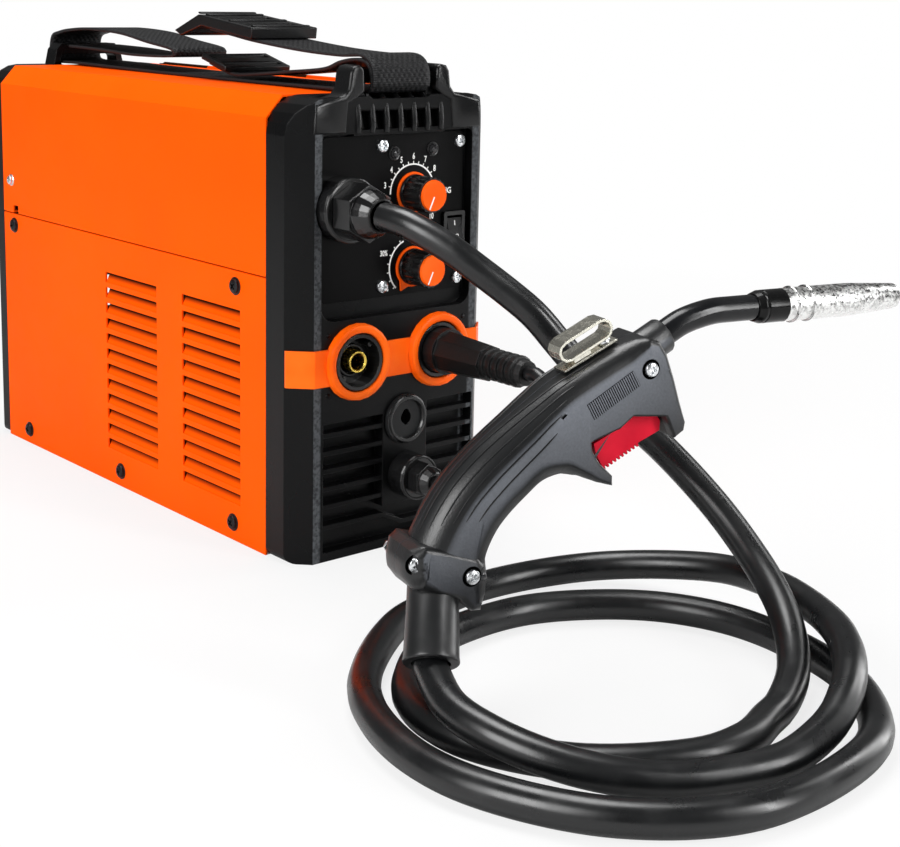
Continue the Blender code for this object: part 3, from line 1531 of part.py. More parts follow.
def band_mesh(route, thickness, width):
    """A flat band of one thickness along a route of (y, z) points."""
    points = [Vector(point) for point in route]
    outer = []
    inner = []
    for index, point in enumerate(points):
        before = points[max(index - 1, 0)]
        after = points[min(index + 1, len(points) - 1)]
        first = (point - before).normalized() if point != before else (after - point).normalized()
        second = (after - point).normalized() if point != after else first
        across = (first + second).normalized()
        normal = Vector((-across.y, across.x))
        reach = thickness / 2 / max(0.5, normal.dot(Vector((-first.y, first.x))))
        outer.append(tuple(point + normal * reach))
        inner.append(tuple(point - normal * reach))
    outline = outer + inner[::-1]
    return prism_mesh(outline, "X", -width / 2, width / 2)


def strap_route(points, step=12.0):
    route = smooth_route([(y, z, 0.0) for y, z in points], step)
    return [(point.x, point.y) for point in route]


def lower_strap():
    """The run that lies on the lid, through both arches' slots and back over their bars."""
    front_bar = FRONT_FACE + ARCH_LEAN + ARCH_DEPTH / 2
    rear_bar = REAR_FACE - REAR_ARCH_DEPTH / 2
    low = CASE_HEIGHT + STRAP_THICKNESS / 2 + GAP
    points = [
        (-12.0, 259.9),
        (-26.0, 256.5),
        (-39.0, 254.3),
        (-60.0, 255.6),
        (-92.0, 258.6),
        (front_bar + 29.0, 262.0),
        (front_bar + 14.0, ARCH_TOP + 2.4),
        (front_bar, ARCH_TOP + STRAP_RISE),
        (front_bar - 10.0, ARCH_TOP + 2.4),
        (front_bar - 13.2, ARCH_TOP - 5.0),
        (front_bar - 12.4, SLOT_TOP - 4.0),
        (front_bar - 4.0, SLOT_BOTTOM + 3.0),
        (front_bar + 12.0, SLOT_BOTTOM + 3.2),
        (front_bar + 30.0, low + 0.6),
        (-60.0, low),
        (0.0, low),
        (60.0, low),
        (rear_bar - 30.0, low + 0.6),
        (rear_bar - 12.0, SLOT_BOTTOM + 3.2),
        (rear_bar + 4.0, SLOT_BOTTOM + 3.0),
        (rear_bar + 12.4, SLOT_TOP - 4.0),
        (rear_bar + 13.2, ARCH_TOP - 5.0),
        (rear_bar + 10.0, ARCH_TOP + 4.4),
        (rear_bar, ARCH_TOP + 7.4),
        (rear_bar - 16.0, ARCH_TOP + 9.6),
        (134.0, 275.0),
        (94.0, 273.5),
        (62.0, 269.5),
        (34.0, 266.4),
        (29.0, 263.8),
        (35.0, 261.6),
        (79.0, 260.6),
        (122.0, 262.0),
        (rear_bar - 14.0, 262.6),
    ]
    bm = band_mesh(strap_route(points, 8.0), STRAP_THICKNESS, STRAP_WIDTH)
    return make("carry_strap", bm, webbing())


def buckle(name, outline, slots):
    """A plastic slide buckle: a bent plate with slots for the webbing."""
    wide = STRAP_WIDTH / 2 + 4.0
    body = make(name, prism_mesh(outline, "X", -wide, wide), black_plastic())
    opening = STRAP_WIDTH / 2 + 0.8
    bm = bmesh.new()
    for slot in slots:
        prism_mesh(slot, "X", -opening, opening, bm)
    cut(body, tool(name + "_slots", bm))
    return set_pivot(body, (HINGE_X, 0.0, HINGE_Z))


def rear_buckle():
    """Large adjuster over the lid, its front end raised."""
    outline = [(-62.0, 275.5), (-9.0, 281.5), (14.0, 275.0), (21.0, 278.0), (-6.0, 288.0), (-63.0, 282.0)]
    slots = [
        [(-54.0, 270.0), (-40.0, 270.0), (-40.0, 290.0), (-54.0, 290.0)],
        [(-30.0, 270.0), (-14.0, 270.0), (-14.0, 290.0), (-30.0, 290.0)],
        [(0.0, 270.0), (10.0, 270.0), (10.0, 290.0), (0.0, 290.0)],
    ]
    return buckle("rear_strap_buckle", outline, slots)


def front_buckle():
    outline = [(-35.0, 255.6), (-9.0, 262.0), (-9.6, 265.0), (-35.6, 258.6)]
    slots = [
        [(-32.0, 250.0), (-26.0, 250.0), (-27.5, 270.0), (-33.5, 270.0)],
        [(-18.0, 250.0), (-12.0, 250.0), (-13.5, 270.0), (-19.5, 270.0)],
    ]
    return buckle("front_strap_buckle", outline, slots)


def upper_strap():
    """The doubled run from the large adjuster down to the front bar."""
    under = STRAP_THICKNESS / 2 + GAP * 1.1
    front_bar = FRONT_FACE + ARCH_LEAN + ARCH_DEPTH / 2
    points = [
        (-12.0, 281.16 - under),
        (-36.0, 278.44 - under),
        (-60.0, 275.72 - under),
        (-104.0, 271.6),
        (front_bar + 12.0, ARCH_TOP + STRAP_RISE + STRAP_THICKNESS + GAP * 1.3),
        (front_bar - 3.0, ARCH_TOP + STRAP_RISE + STRAP_THICKNESS + GAP * 1.1),
    ]
    bm = band_mesh(strap_route(points, 12.0), STRAP_THICKNESS, STRAP_WIDTH)
    return make("carry_strap_upper", bm, webbing())


# ---------------------------------------------------------------- torch


def torch_frame():
    """Empty whose X and Z axes are the torch's own drawing plane."""
    empty = bpy.data.objects.new("torch_frame", None)
    empty.location = (TORCH_ORIGIN[0] * MM, TORCH_ORIGIN[1] * MM, 0.0)
    empty.rotation_euler = (0.0, 0.0, math.radians(TORCH_TURN))
    bpy.context.scene.collection.objects.link(empty)
    return empty


def held(made, frame):
    made.parent = frame
    return made


def grip_outline():
    back = smooth_route([(-22.3, 66.1, 0), (-14.1, 81, 0), (7.9, 113.3, 0), (39.2, 137.9, 0), (84, 160.2, 0)], 12.0)
    outline = [(point.x, point.y) for point in back]
    outline += [(90.4, 160.5), (97.5, 157.6), (105.5, 160.4), (111.6, 156.8), (114.6, 150.7), (110.3, 147.3)]
    outline += [(114.1, 137.0), (118.4, 123.1), (118.3, 115.1), (112.2, 111.8), (110.8, 120.5)]
    outline += [(94.0, 120.6), (75.3, 111.9), (78.3, 101.7), (78.6, 94.8), (76.1, 94.3)]
    outline += [(62.2, 99.0), (52.1, 98.6), (42.4, 91.5), (32.9, 80.7), (25.0, 71.3), (21.1, 64.3)]
    outline += [(22.2, 55.1), (20.1, 41.8), (10.2, 47.9), (-17.5, 54.4), (-22.3, 61.7)]
    return outline


def rod_mesh(start, end, radius, steps=20):
    """A plain round bar between two points."""
    first = Vector(start)
    along = Vector(end) - first
    bm = turned_mesh(solid_profile(radius, 0.0, along.length), (0.0, 0.0), "Z", steps)
    turn = along.to_track_quat("Z", "Y").to_matrix().to_4x4()
    bmesh.ops.transform(bm, matrix=Matrix.Translation(first) @ turn, verts=bm.verts)
    return bm


SLEEVE_TOP = (-1.8, 0.0, 58.0)
SLEEVE_MOUTH = (-12.6, -20.9, 30.0)
SLEEVE_BORE = CABLE_DIAMETER / 2 + 2.9
NECK_ROUTE = ((97.5, 0.0, 149.9), (110.7, 0.0, 156.9), (121.1, 0.0, 162.0), (135.3, 0.0, 165.2), (148.0, 0.0, 165.6), (166.0, 0.0, 165.6))
NECK_Z = 165.6
TRIGGER_PIVOT = (107.0, 122.5)
TRIGGER_PIN = 1.6


def grip_half(name, side, frame):
    """Half of the moulded grip, with pockets for trigger, neck and cable sleeve."""
    inner = side * GAP / 2
    outer = side * GRIP_THICKNESS / 2
    bm = prism_mesh(grip_outline(), "Y", inner, outer)
    rim = [edge for edge in bm.edges if all(abs(vert.co.y - outer) < 0.01 for vert in edge.verts)]
    bmesh.ops.bevel(
        bm, geom=rim, offset=GRIP_BEVEL, segments=2, profile=0.5, affect="EDGES", clamp_overlap=True
    )
    body = held(make(name, bm, black_plastic()), frame)
    room = TRIGGER_WIDTH / 2 + GAP * 2
    pocket = [(68.0, 100.0), (113.6, 100.0), (113.6, 128.5), (100.0, 129.5), (70.0, 117.5)]
    pocket_tool = tool(name + "_pocket", prism_mesh(pocket, "Y", -room, room))
    cut(body, held(pocket_tool, frame))
    first = Vector(NECK_ROUTE[0])
    second = Vector(NECK_ROUTE[1])
    along = (second - first).normalized()
    bore = rod_mesh(first - along * GAP, second + along * 12.0, NECK_RADIUS + GAP)
    cut(body, held(tool(name + "_neck_bore", bore), frame))
    top = Vector(SLEEVE_TOP)
    mouth = Vector(SLEEVE_MOUTH)
    axis = (top - mouth).normalized()
    seat = rod_mesh(mouth, top + axis * (10.0 + GAP), SLEEVE_RADIUS + GAP, 24)
    cut(body, held(tool(name + "_sleeve_seat", seat), frame))
    if side < 0:
        pin = turned_mesh(solid_profile(TRIGGER_PIN, -room - 2.0, room - GAP), TRIGGER_PIVOT, "Y", 10)
        add(body, held(tool("trigger_pin", pin), frame))
    return body


def torch_trigger(frame):
    """Ribbed trigger with a boss that turns on the grip's pin."""
    ribs = []
    start = Vector((82.5, 97.9))
    end = Vector((101.6, 107.6))
    along = (end - start).normalized()
    down = Vector((along.y, -along.x))
    count = 8
    pitch = (end - start).length / count
    for index in range(count):
        root = start + along * (index * pitch)
        tip = root + along * (pitch * 0.5)
        ribs += [tuple(root), tuple(root + down * 1.0), tuple(tip + down * 1.0), tuple(tip)]
    outline = ribs + [(103.0, 108.3), (112.1, 112.8), (111.2, 118.6), (111.0, 122.5)]
    outline += arc(TRIGGER_PIVOT, 4.2, 10, 170, 6) + [(98.0, 119.4), (94.0, 118.4), (75.8, 110.0), (79.3, 99.3)]
    half = TRIGGER_WIDTH / 2
    body = held(make("torch_trigger", prism_mesh(outline, "Y", -half, half), red_plastic()), frame)
    bore = prism_mesh(polygon(TRIGGER_PIN + RUNNING, 14, TRIGGER_PIVOT), "Y", -half - 1, half + 1)
    cut(body, held(tool("trigger_bore", bore), frame))
    moved = set_pivot(body, (TRIGGER_PIVOT[0], 0.0, TRIGGER_PIVOT[1]))
    return moved


def stadium(centre, half_length, half_height, turn, count=5):
    """A slot outline turned in its plane."""
    outline = arc((half_length, 0.0), half_height, -90, 90, count)
    outline += arc((-half_length, 0.0), half_height, 90, 270, count)
    cos = math.cos(math.radians(turn))
    sin = math.sin(math.radians(turn))
    return [(centre[0] + a * cos - b * sin, centre[1] + a * sin + b * cos) for a, b in outline]


HOOK_CENTRE = (67.3, 158.1)
HOOK_TURN = 26.4
HOOK_STRIP = 1.2


def torch_hook(frame):
    """Hanging loop bent from a metal strip on the grip's back."""
    outer = stadium(HOOK_CENTRE, 9.6, 4.8, HOOK_TURN)
    inner = stadium(HOOK_CENTRE, 9.6, 4.8 - HOOK_STRIP, HOOK_TURN)
    body = held(make("torch_hook", prism_mesh(outer, "Y", -5.0, 5.0), bright_steel()), frame)
    return cut(body, held(tool("hook_inside", prism_mesh(inner, "Y", -6.0, 6.0)), frame))


def torch_neck(frame):
    points = smooth_route(NECK_ROUTE, 6.0)
    return held(cord("torch_neck", points, NECK_RADIUS * 2, 3, black_rubber()), frame)


def torch_insulator(frame):
    start = 158.3
    end = start + 20.0
    profile = [
        (NECK_RADIUS + GAP, start),
        (INSULATOR_RADIUS - 1.6, start),
        (INSULATOR_RADIUS, start + 3.0),
        (INSULATOR_RADIUS, end),
        (0.0, end),
        (0.0, start + 8.2),
        (NECK_RADIUS + GAP, start + 8.2),
    ]
    profile = profile[4:5] + profile[5:]
    order = [(0.0, start + 8.2), (NECK_RADIUS + GAP, start + 8.2), (NECK_RADIUS + GAP, start)]
    order += [(INSULATOR_RADIUS - 1.6, start), (INSULATOR_RADIUS, start + 3.0), (INSULATOR_RADIUS, end)]
    order += [(0.0, end)]
    return held(make("torch_insulator", turned_mesh(order, (0.0, NECK_Z), "X", 18), black_rubber()), frame)


def torch_nozzle(frame):
    """Conical gas nozzle, open at the front."""
    start = 158.3 + 20.0 + GAP
    end = start + NOZZLE_LENGTH
    profile = [
        (NOZZLE_RADIUS - NOZZLE_WALL, start),
        (NOZZLE_RADIUS, start),
        (NOZZLE_RADIUS, start + 20.0),
        (NOZZLE_RADIUS - 0.4, start + 40.0),
        (NOZZLE_TIP_RADIUS, end),
        (NOZZLE_TIP_RADIUS - NOZZLE_WALL, end),
        (NOZZLE_RADIUS - 0.4 - NOZZLE_WALL, start + 40.0),
    ]
    bm = turned_mesh(profile, (0.0, NECK_Z), "X", 22, closed=True)
    return held(make("torch_nozzle", bm, bright_steel()), frame)


def contact_tip(frame):
    start = 158.3 + 20.0 + GAP
    end = start + NOZZLE_LENGTH - 5.0
    profile = [
        (0.0, start),
        (5.5, start),
        (5.5, start + 22.0),
        (3.0, start + 26.0),
        (3.0, end - 2.0),
        (2.0, end),
        (0.7, end),
        (0.7, end - 8.0),
        (0.0, end - 8.0),
    ]
    return held(make("contact_tip", turned_mesh(profile, (0.0, NECK_Z), "X", 12), copper()), frame)


def torch_sleeve(frame):
    """Rubber sleeve round the cable, its top seated inside the grip."""
    top = Vector(SLEEVE_TOP)
    mouth = Vector(SLEEVE_MOUTH)
    axis = (top - mouth).normalized()
    length = (top + axis * 10.0 - mouth).length
    profile = [
        (SLEEVE_BORE, 0.0),
        (SLEEVE_RADIUS + 0.9, 0.0),
        (SLEEVE_RADIUS + 0.9, 2.2),
        (SLEEVE_RADIUS, 2.8),
        (SLEEVE_RADIUS, length),
        (SLEEVE_BORE, length),
    ]
    bm = turned_mesh(profile, (0.0, 0.0), "Z", 18, closed=True)
    turn = axis.to_track_quat("Z", "Y").to_matrix().to_4x4()
    bmesh.ops.transform(bm, matrix=Matrix.Translation(mouth) @ turn, verts=bm.verts)
    return held(make("torch_sleeve", bm, black_rubber()), frame)


# ---------------------------------------------------------------- cable


# The falling run, from the gland's mouth to the floor
DROP_ROUTE = (
    (TORCH_X, -204.0, TORCH_Z),
    (TORCH_X + 1.6, -218.5, 190.0),
    (-31.5, -231.0, 185.6),
    (-24.0, -243.5, 178.0),
    (-15.5, -254.0, 168.8),
    (-4.5, -265.0, 157.4),
    (3.5, -275.0, 147.2),
    (12.0, -284.5, 133.0),
    (25.0, -302.0, 109.5),
    (41.0, -328.5, 85.8),
    (49.0, -356.0, 63.0),
    (48.5, -382.0, 43.7),
    (41.0, -404.5, 30.3),
    (28.5, -422.5, 20.8),
    (10.0, -439.0, 13.6),
    (-12.0, -450.5, 9.4),
)
# The coil's own stations: angle about its centre, radius, height above the cable's rest
COIL_STATIONS = (
    (-82, 70.5, 0.3), (-99, 77, 0), (-120, 84, 0), (-150, 93.5, 0), (-178, 102.5, 0), (-202, 102.5, 0),
    (-230, 95, 0), (-251, 89, 0), (-280, 84, 0), (-310, 82, 0), (-335, 84, 0), (-360, 86, 0),
    (-390, 92, 0), (-414, 103, 0), (-440, 115, 0), (-473, 128, 0), (-498, 133, 0), (-523, 131, 0),
    (-545, 126, 0), (-570, 119.5, 0), (-600, 116, 0), (-620, 117.5, 0), (-645, 124, 0),
    (-670, 129, 3), (-696, 120, 11), (-716, 107, 15.5), (-736, 98, 17.0), (-757, 94, 18.5),
    (-776, 95, 16.5), (-790, 96.8, 11.0), (-803, 98.0, 5.0), (-820, 99.8, 0.5), (-838, 101.0, 0),
)
# From the coil up into the sleeve's mouth
TAIL_STATIONS = ((-850, 104.3, 1.2), (-862, 108.5, 4.5), (-874, 111.0, 8.5), (-886, 111.5, 12.5), (-898, 108.6, 15.4))


def coil_point(angle, radius, rise):
    turn = math.radians(angle)
    x = COIL_CENTRE[0] + radius * math.cos(turn)
    y = COIL_CENTRE[1] + radius * math.sin(turn)
    return (x, y, CABLE_DIAMETER / 2 + FLOOR_CLEAR + rise)


def torch_point(point):
    """A point of the torch's drawing plane in the machine's axes."""
    turn = math.radians(TORCH_TURN)
    x = TORCH_ORIGIN[0] + point[0] * math.cos(turn) - point[1] * math.sin(turn)
    y = TORCH_ORIGIN[1] + point[0] * math.sin(turn) + point[1] * math.cos(turn)
    return (x, y, point[2])


def straight_end(points, at_start, along):
    """Make a run's end straight for one diameter and hold it half a gap back."""
    row = points if at_start else points[::-1]
    along = along if at_start else -along
    tip = row[0] + along * (GAP / 2)
    knee = row[0] + along * CABLE_DIAMETER
    rest = list(row[1:])
    while len(rest) > 2 and (rest[0] - row[0]).length < CABLE_DIAMETER * 1.9:
        rest.pop(0)
    row = [tip, knee] + rest
    return row if at_start else row[::-1]


def cable_runs():
    """The whole cable as one smooth curve, cut into drop, coil and tail."""
    drop = [Vector(point) for point in DROP_ROUTE]
    coil = [Vector(coil_point(*station)) for station in COIL_STATIONS]
    tail = [Vector(coil_point(*station)) for station in TAIL_STATIONS]
    mouth = Vector(torch_point(SLEEVE_MOUTH))
    top = Vector(torch_point(SLEEVE_TOP))
    axis = (top - mouth).normalized()
    entry = (axis + (mouth - tail[-1]).normalized()).normalized()
    tail += [mouth - entry * 4.0, mouth + entry * 3.0]
    whole = smooth_route(drop + coil + tail, CABLE_DIAMETER / 10)
    first = min(range(len(whole)), key=lambda index: (whole[index] - coil[1]).length)
    last = min(range(len(whole)), key=lambda index: (whole[index] - coil[-1]).length)
    landing = (whole[first + 3] - whole[first - 3]).normalized()
    leaving = (whole[last + 3] - whole[last - 3]).normalized()
    return whole[: first + 1], whole[first : last + 1], whole[last:], landing, leaving



def smooth_spacing(points, spacing):
    lengths = [0.0]
    for before, after in zip(points, points[1:]):
        lengths.append(lengths[-1] + (after - before).length)
    count = max(2, round(lengths[-1] / spacing))
    picked = []
    for index in range(count + 1):
        wanted = lengths[-1] * index / count
        nearest = min(range(len(points)), key=lambda place: abs(lengths[place] - wanted))
        picked.append(points[nearest])
    return picked


def least_gap(points):
    """Least clear space between turns of a run, from its own points."""
    fine = []
    for before, after in zip(points, points[1:]):
        for part in range(8):
            fine.append(before.lerp(after, part / 8))
    lengths = [0.0]
    for before, after in zip(fine, fine[1:]):
        lengths.append(lengths[-1] + (after - before).length)
    least = 1e9
    for index, point in enumerate(fine):
        for other in range(index + 1, len(fine)):
            if lengths[other] - lengths[index] > CABLE_DIAMETER * 5:
                least = min(least, (point - fine[other]).length)
    return least - CABLE_DIAMETER


def run_length(points):
    return sum((after - before).length for before, after in zip(points, points[1:]))


def torch_cable():
    drop, coil, tail, landing, leaving = cable_runs()
    loop = math.tau * sum(station[1] for station in COIL_STATIONS) / len(COIL_STATIONS)
    drop_points = straight_end(smooth_spacing(drop, CABLE_DIAMETER * 2), False, landing)
    coil_points = smooth_spacing(coil, loop / COIL_POINTS_PER_LOOP)
    coil_points = straight_end(straight_end(coil_points, True, landing), False, leaving)
    tail_points = straight_end(smooth_spacing(tail, CABLE_DIAMETER * 1.0), True, leaving)
    cord("torch_cable_drop", drop_points, CABLE_DIAMETER, 2, black_rubber())
    cord("torch_cable_coil", coil_points, CABLE_DIAMETER, 1, black_rubber())
    cord("torch_cable_tail", tail_points, CABLE_DIAMETER, 2, black_rubber())
    whole = drop_points + coil_points + tail_points
    print("cable length %.0f mm, least gap %.2f mm" % (run_length(whole), least_gap(whole)))
    print("coil least gap %.2f mm" % least_gap(coil_points))


LEAD_ROUTE = (
    (LEAD_X, -196.5, LEAD_Z),
    (LEAD_X, -206.0, LEAD_Z),
    (LEAD_X, -221.0, LEAD_Z + 0.5),
    (9.0, -245.0, 47.0),
    (14.0, -265.0, 61.0),
    (20.0, -275.5, 80.0),
    (25.5, -270.0, 98.0),
    (SOCKET_X, -256.0, SOCKET_Z - 1.0),
    (SOCKET_X, -246.0, SOCKET_Z),
)


def polarity_lead():
    seat = SOCKET_FACE
    end = seat - PLUG_LENGTH
    mouth = FRONT_FACE - GAP - LEAD_BOSS_DEPTH - GAP - LEAD_NUT_DEPTH
    route = list(LEAD_ROUTE)
    route[0] = (LEAD_X, mouth + 2.0, LEAD_Z)
    route[-1] = (SOCKET_X, end - GAP, SOCKET_Z)
    route.insert(-1, (SOCKET_X, end - GAP - LEAD_DIAMETER, SOCKET_Z - 0.2))
    del route[-3]
    points = smooth_route(route, LEAD_DIAMETER * 0.9)
    made = cord("polarity_lead", points, LEAD_DIAMETER, 2, black_rubber())
    print("polarity lead length %.0f mm" % run_length(points))
    return made


def build():
    clear_scene()
    base_pan()
    left_lower_panel()
    right_side_panel()
    lid()
    lid_hinge_pin()
    front_frame()
    rear_frame()
    colour_band()
    control_plate()
    torch_gland_body()
    torch_gland_nut()
    knob("upper_knob", UPPER_KNOB_Z)
    knob("lower_knob", LOWER_KNOB_Z)
    knob_cap("upper_knob_cap", UPPER_KNOB_Z)
    knob_cap("lower_knob_cap", LOWER_KNOB_Z)
    switch_housing("mode_switch", SWITCH_X, SWITCH_Z, BEZEL_WIDE, BEZEL_TALL, PLATE_FRONT, 1)
    switch_rocker("mode_rocker", SWITCH_X, SWITCH_Z, BEZEL_WIDE, BEZEL_TALL, PLATE_FRONT, 1)
    rear = (REAR_SWITCH_X, REAR_SWITCH_Z, REAR_SWITCH_WIDE, REAR_SWITCH_TALL, REAR_FACE, -1)
    switch_housing("power_switch", *rear)
    switch_rocker("power_rocker", *rear)
    signal_lens("left_signal_lens", LEFT_LAMP)
    signal_lens("right_signal_lens", RIGHT_LAMP)
    socket("left_socket", -SOCKET_X)
    socket("right_socket", SOCKET_X)
    socket_contact("left_socket_contact", -SOCKET_X)
    polarity_plug()
    polarity_plug_pin()
    lead_gland_body()
    lead_gland_nut()
    blank_cover()
    bay_wall()
    wire_bay_deck()
    spool_spindle()
    wire_spool()
    wire_winding()
    feeder_body()
    roller("drive_roller", DRIVE_RADIUS, DRIVE_Z)
    roller("pressure_roller", PRESSURE_RADIUS, PRESSURE_Z)
    feed_motor()
    inverter_board()
    transformer()
    fan_frame()
    fan_rotor()
    mains_gland()
    lower_strap()
    upper_strap()
    rear_buckle()
    front_buckle()
    frame = torch_frame()
    grip_half("torch_grip_left", 1, frame)
    grip_half("torch_grip_right", -1, frame)
    torch_trigger(frame)
    torch_hook(frame)
    torch_neck(frame)
    torch_insulator(frame)
    torch_nozzle(frame)
    contact_tip(frame)
    torch_sleeve(frame)
    torch_cable()
    polarity_lead()


build()
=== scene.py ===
"""Looks of a portable wire-feed welding machine: painted case, moulded ends,
control panel, torch on its coiled cable, polarity lead and carry strap."""

import math

import bmesh
import bpy
from mathutils import Matrix, Vector


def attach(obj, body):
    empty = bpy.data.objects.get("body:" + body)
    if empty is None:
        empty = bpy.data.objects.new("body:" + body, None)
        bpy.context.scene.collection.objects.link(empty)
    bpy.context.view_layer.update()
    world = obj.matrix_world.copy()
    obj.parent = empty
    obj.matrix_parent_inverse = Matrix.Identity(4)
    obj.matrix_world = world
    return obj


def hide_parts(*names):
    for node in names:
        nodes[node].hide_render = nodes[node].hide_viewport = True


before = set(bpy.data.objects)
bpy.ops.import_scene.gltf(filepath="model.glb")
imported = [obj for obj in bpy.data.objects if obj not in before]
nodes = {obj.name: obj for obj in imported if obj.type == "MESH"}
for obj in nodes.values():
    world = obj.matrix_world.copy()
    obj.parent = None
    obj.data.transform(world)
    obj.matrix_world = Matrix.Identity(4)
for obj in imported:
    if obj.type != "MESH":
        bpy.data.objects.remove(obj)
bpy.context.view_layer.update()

MM = 0.001

# Sizes shared with the solids, in millimetres
HALF = 67.25
FRONT_FACE = -170.2
PLATE_FRONT = -166
CABLE = 15
LEAD = 8
GAP = 0.3
GRIP_SIDE = 15
FORWARD = (0, -1, 0)
INK = 0.06
TORCH_TURN = math.radians(-13.8)
TORCH = Matrix.Translation((-117.8, -346.1, 0)) @ Matrix.Rotation(TORCH_TURN, 4, "Z")

# Places that the finishes read, in metres: from inside to outside of a side panel, where painted shade gives
# way to paint;
# from recess to border of the front moulding, where the painted sheen begins; from middle to top of the gas
# nozzle
SHEET_SKIN = (0.0648, 0.0661)
FRONT_BORDER = (0.0508, 0.0520)
NOZZLE_UPPER = (0.1595, 0.1665)


# ---------------------------------------------------------------- materials


class Wire:
    """A material's socket, with the arithmetic that the finishes use."""

    def __init__(self, finish, socket):
        self.finish = finish
        self.socket = socket

    def maths(self, operation, first, second=0):
        return self.finish.node("ShaderNodeMath", {"operation": operation}, {0: first, 1: second})

    def __add__(self, other):
        return self.maths("ADD", self, other)

    def __sub__(self, other):
        return self.maths("SUBTRACT", self, other)

    def __rsub__(self, other):
        return self.maths("SUBTRACT", other, self)

    def __mul__(self, other):
        return self.maths("MULTIPLY", self, other)

    __radd__ = __add__
    __rmul__ = __mul__

    def above(self, level):
        return self.maths("GREATER_THAN", self, level)

    def wave(self):
        return self.maths("SINE", self)

    def size(self):
        return self.maths("ABSOLUTE", self)

    def spread(self, low, high, first, last):
        """Carry the range low..high onto first..last, held at the ends."""
        sockets = {"Value": self, "From Min": low, "From Max": high, "To Min": first, "To Max": last}
        return self.finish.node("ShaderNodeMapRange", {"clamp": True}, sockets)


class Finish:
    """One material; every node comes from node()."""

    def __init__(self, name):
        self.material = bpy.data.materials.new(name)
        self.material.use_nodes = True
        self.tree = self.material.node_tree
        self.shader = self.tree.nodes["Principled BSDF"]

    def node(self, kind, settings, sockets, output=0):
        made = self.tree.nodes.new(kind)
        for key, value in settings.items():
            setattr(made, key, value)
        for key, value in sockets.items():
            self.feed(made.inputs[key], value)
        return Wire(self, made.outputs[output])

    def feed(self, socket, value):
        if isinstance(value, Wire):
            self.tree.links.new(value.socket, socket)
        elif isinstance(value, tuple) and len(value) == 3 and socket.type == "RGBA":
            socket.default_value = (*value, 1)
        else:
            socket.default_value = value

    def set(self, **values):
        for key, value in values.items():
            self.feed(self.shader.inputs[key.replace("_", " ").title().replace("Ior", "IOR")], value)
        return self

    def tone(self, share, first, second, rough=None, **values):
        """Base colour from a share between two colours, and roughness from (value, low, high)."""
        if rough:
            wire, low, high = rough
            values["roughness"] = wire.spread(0.3, 0.7, low, high)
        return self.set(base_color=self.blend(share, first, second), **values)

    def place(self, output="Object"):
        return self.node("ShaderNodeTexCoord", {}, {}, output)

    def noise(self, scale, detail=2, rough=0.5):
        sockets = {"Vector": self.place(), "Scale": scale, "Detail": detail, "Roughness": rough}
        return self.node("ShaderNodeTexNoise", {}, sockets)

    def parts(self, vector):
        made = self.node("ShaderNodeSeparateXYZ", {}, {"Vector": vector})
        outputs = made.socket.node.outputs
        return tuple(Wire(self, outputs[index]) for index in range(3))

    def blend(self, share, first, second):
        """Mix two colours; 6, 7 and 2 are the Mix node's colour sockets."""
        return self.node("ShaderNodeMix", {"data_type": "RGBA"}, {0: share, 6: first, 7: second}, 2)

    def relief(self, height, depth, strength=1, edge=0):
        """Surface relief, depth in metres, over edges softened by a radius."""
        sockets = {"Height": height, "Distance": depth, "Strength": strength}
        if edge:
            sockets["Normal"] = self.node("ShaderNodeBevel", {"samples": 4}, {"Radius": edge})
        self.set(normal=self.node("ShaderNodeBump", {}, sockets))
        return self


def sheet_paint(name, colour, deep, inner_shade=(0.02, 0.006, 0.002)):
    """Powder-coated sheet: fine orange peel, faint drift of colour, and painted shade: faces set in from the
    outer skin, such as the louvre blades, take a dark colour.
    """
    made = Finish(name)
    drift = made.noise(9)
    speck = made.noise(2600, 1)
    coat = made.blend(drift.spread(0.35, 0.7, 0, 0.5), colour, deep)
    # painted shade: faces more than about 2.4 mm inside the panel's outer face turn dark, for the shade in
    # the louvres
    if inner_shade:
        x, y, z = made.parts(made.place())
        coat = made.blend(x.size().spread(*SHEET_SKIN, 0, 1), inner_shade, coat)
    made.set(base_color=coat, specular_ior_level=0.02)
    made.set(roughness=made.noise(60, 3).spread(0.3, 0.7, 0.34, 0.46))
    return made.relief(made.noise(900) + speck * 0.35, 0.00006, 0.6, 0.0005)


def moulded(name, colour, rough, grain, depth=0.00005, edge=0.0006, shine=0.3, rim=None):
    """Plastic with a spark-eroded grain; rim is the colour of a painted sheen, a highlight laid into the
    colour of a border that faces forward.
    """
    made = Finish(name)
    fine = made.noise(grain)
    broad = made.noise(14, 3)
    pale = tuple(min(1, part * 1.5 + 0.004) for part in colour)
    share = (fine * broad).spread(0.22, 0.48, 0, 0.55)
    # painted sheen: a speckled pale band on the forward-facing border of the front moulding
    if rim:
        x, y, z = made.parts(made.place())
        across, ahead, up = made.parts(made.place("Normal"))
        border = x.size().spread(*FRONT_BORDER, 0, 1) * (ahead * -1).spread(0.9, 0.98, 0, 1)
        sheen = border * made.noise(620).spread(0.35, 0.62, 0.35, 1)
        share, colour, pale = sheen, made.blend(share, colour, pale), rim
    made.tone(share, colour, pale, (broad, rough - 0.06, rough + 0.07), specular_ior_level=shine)
    return made.relief(fine, depth, 0.9, edge)


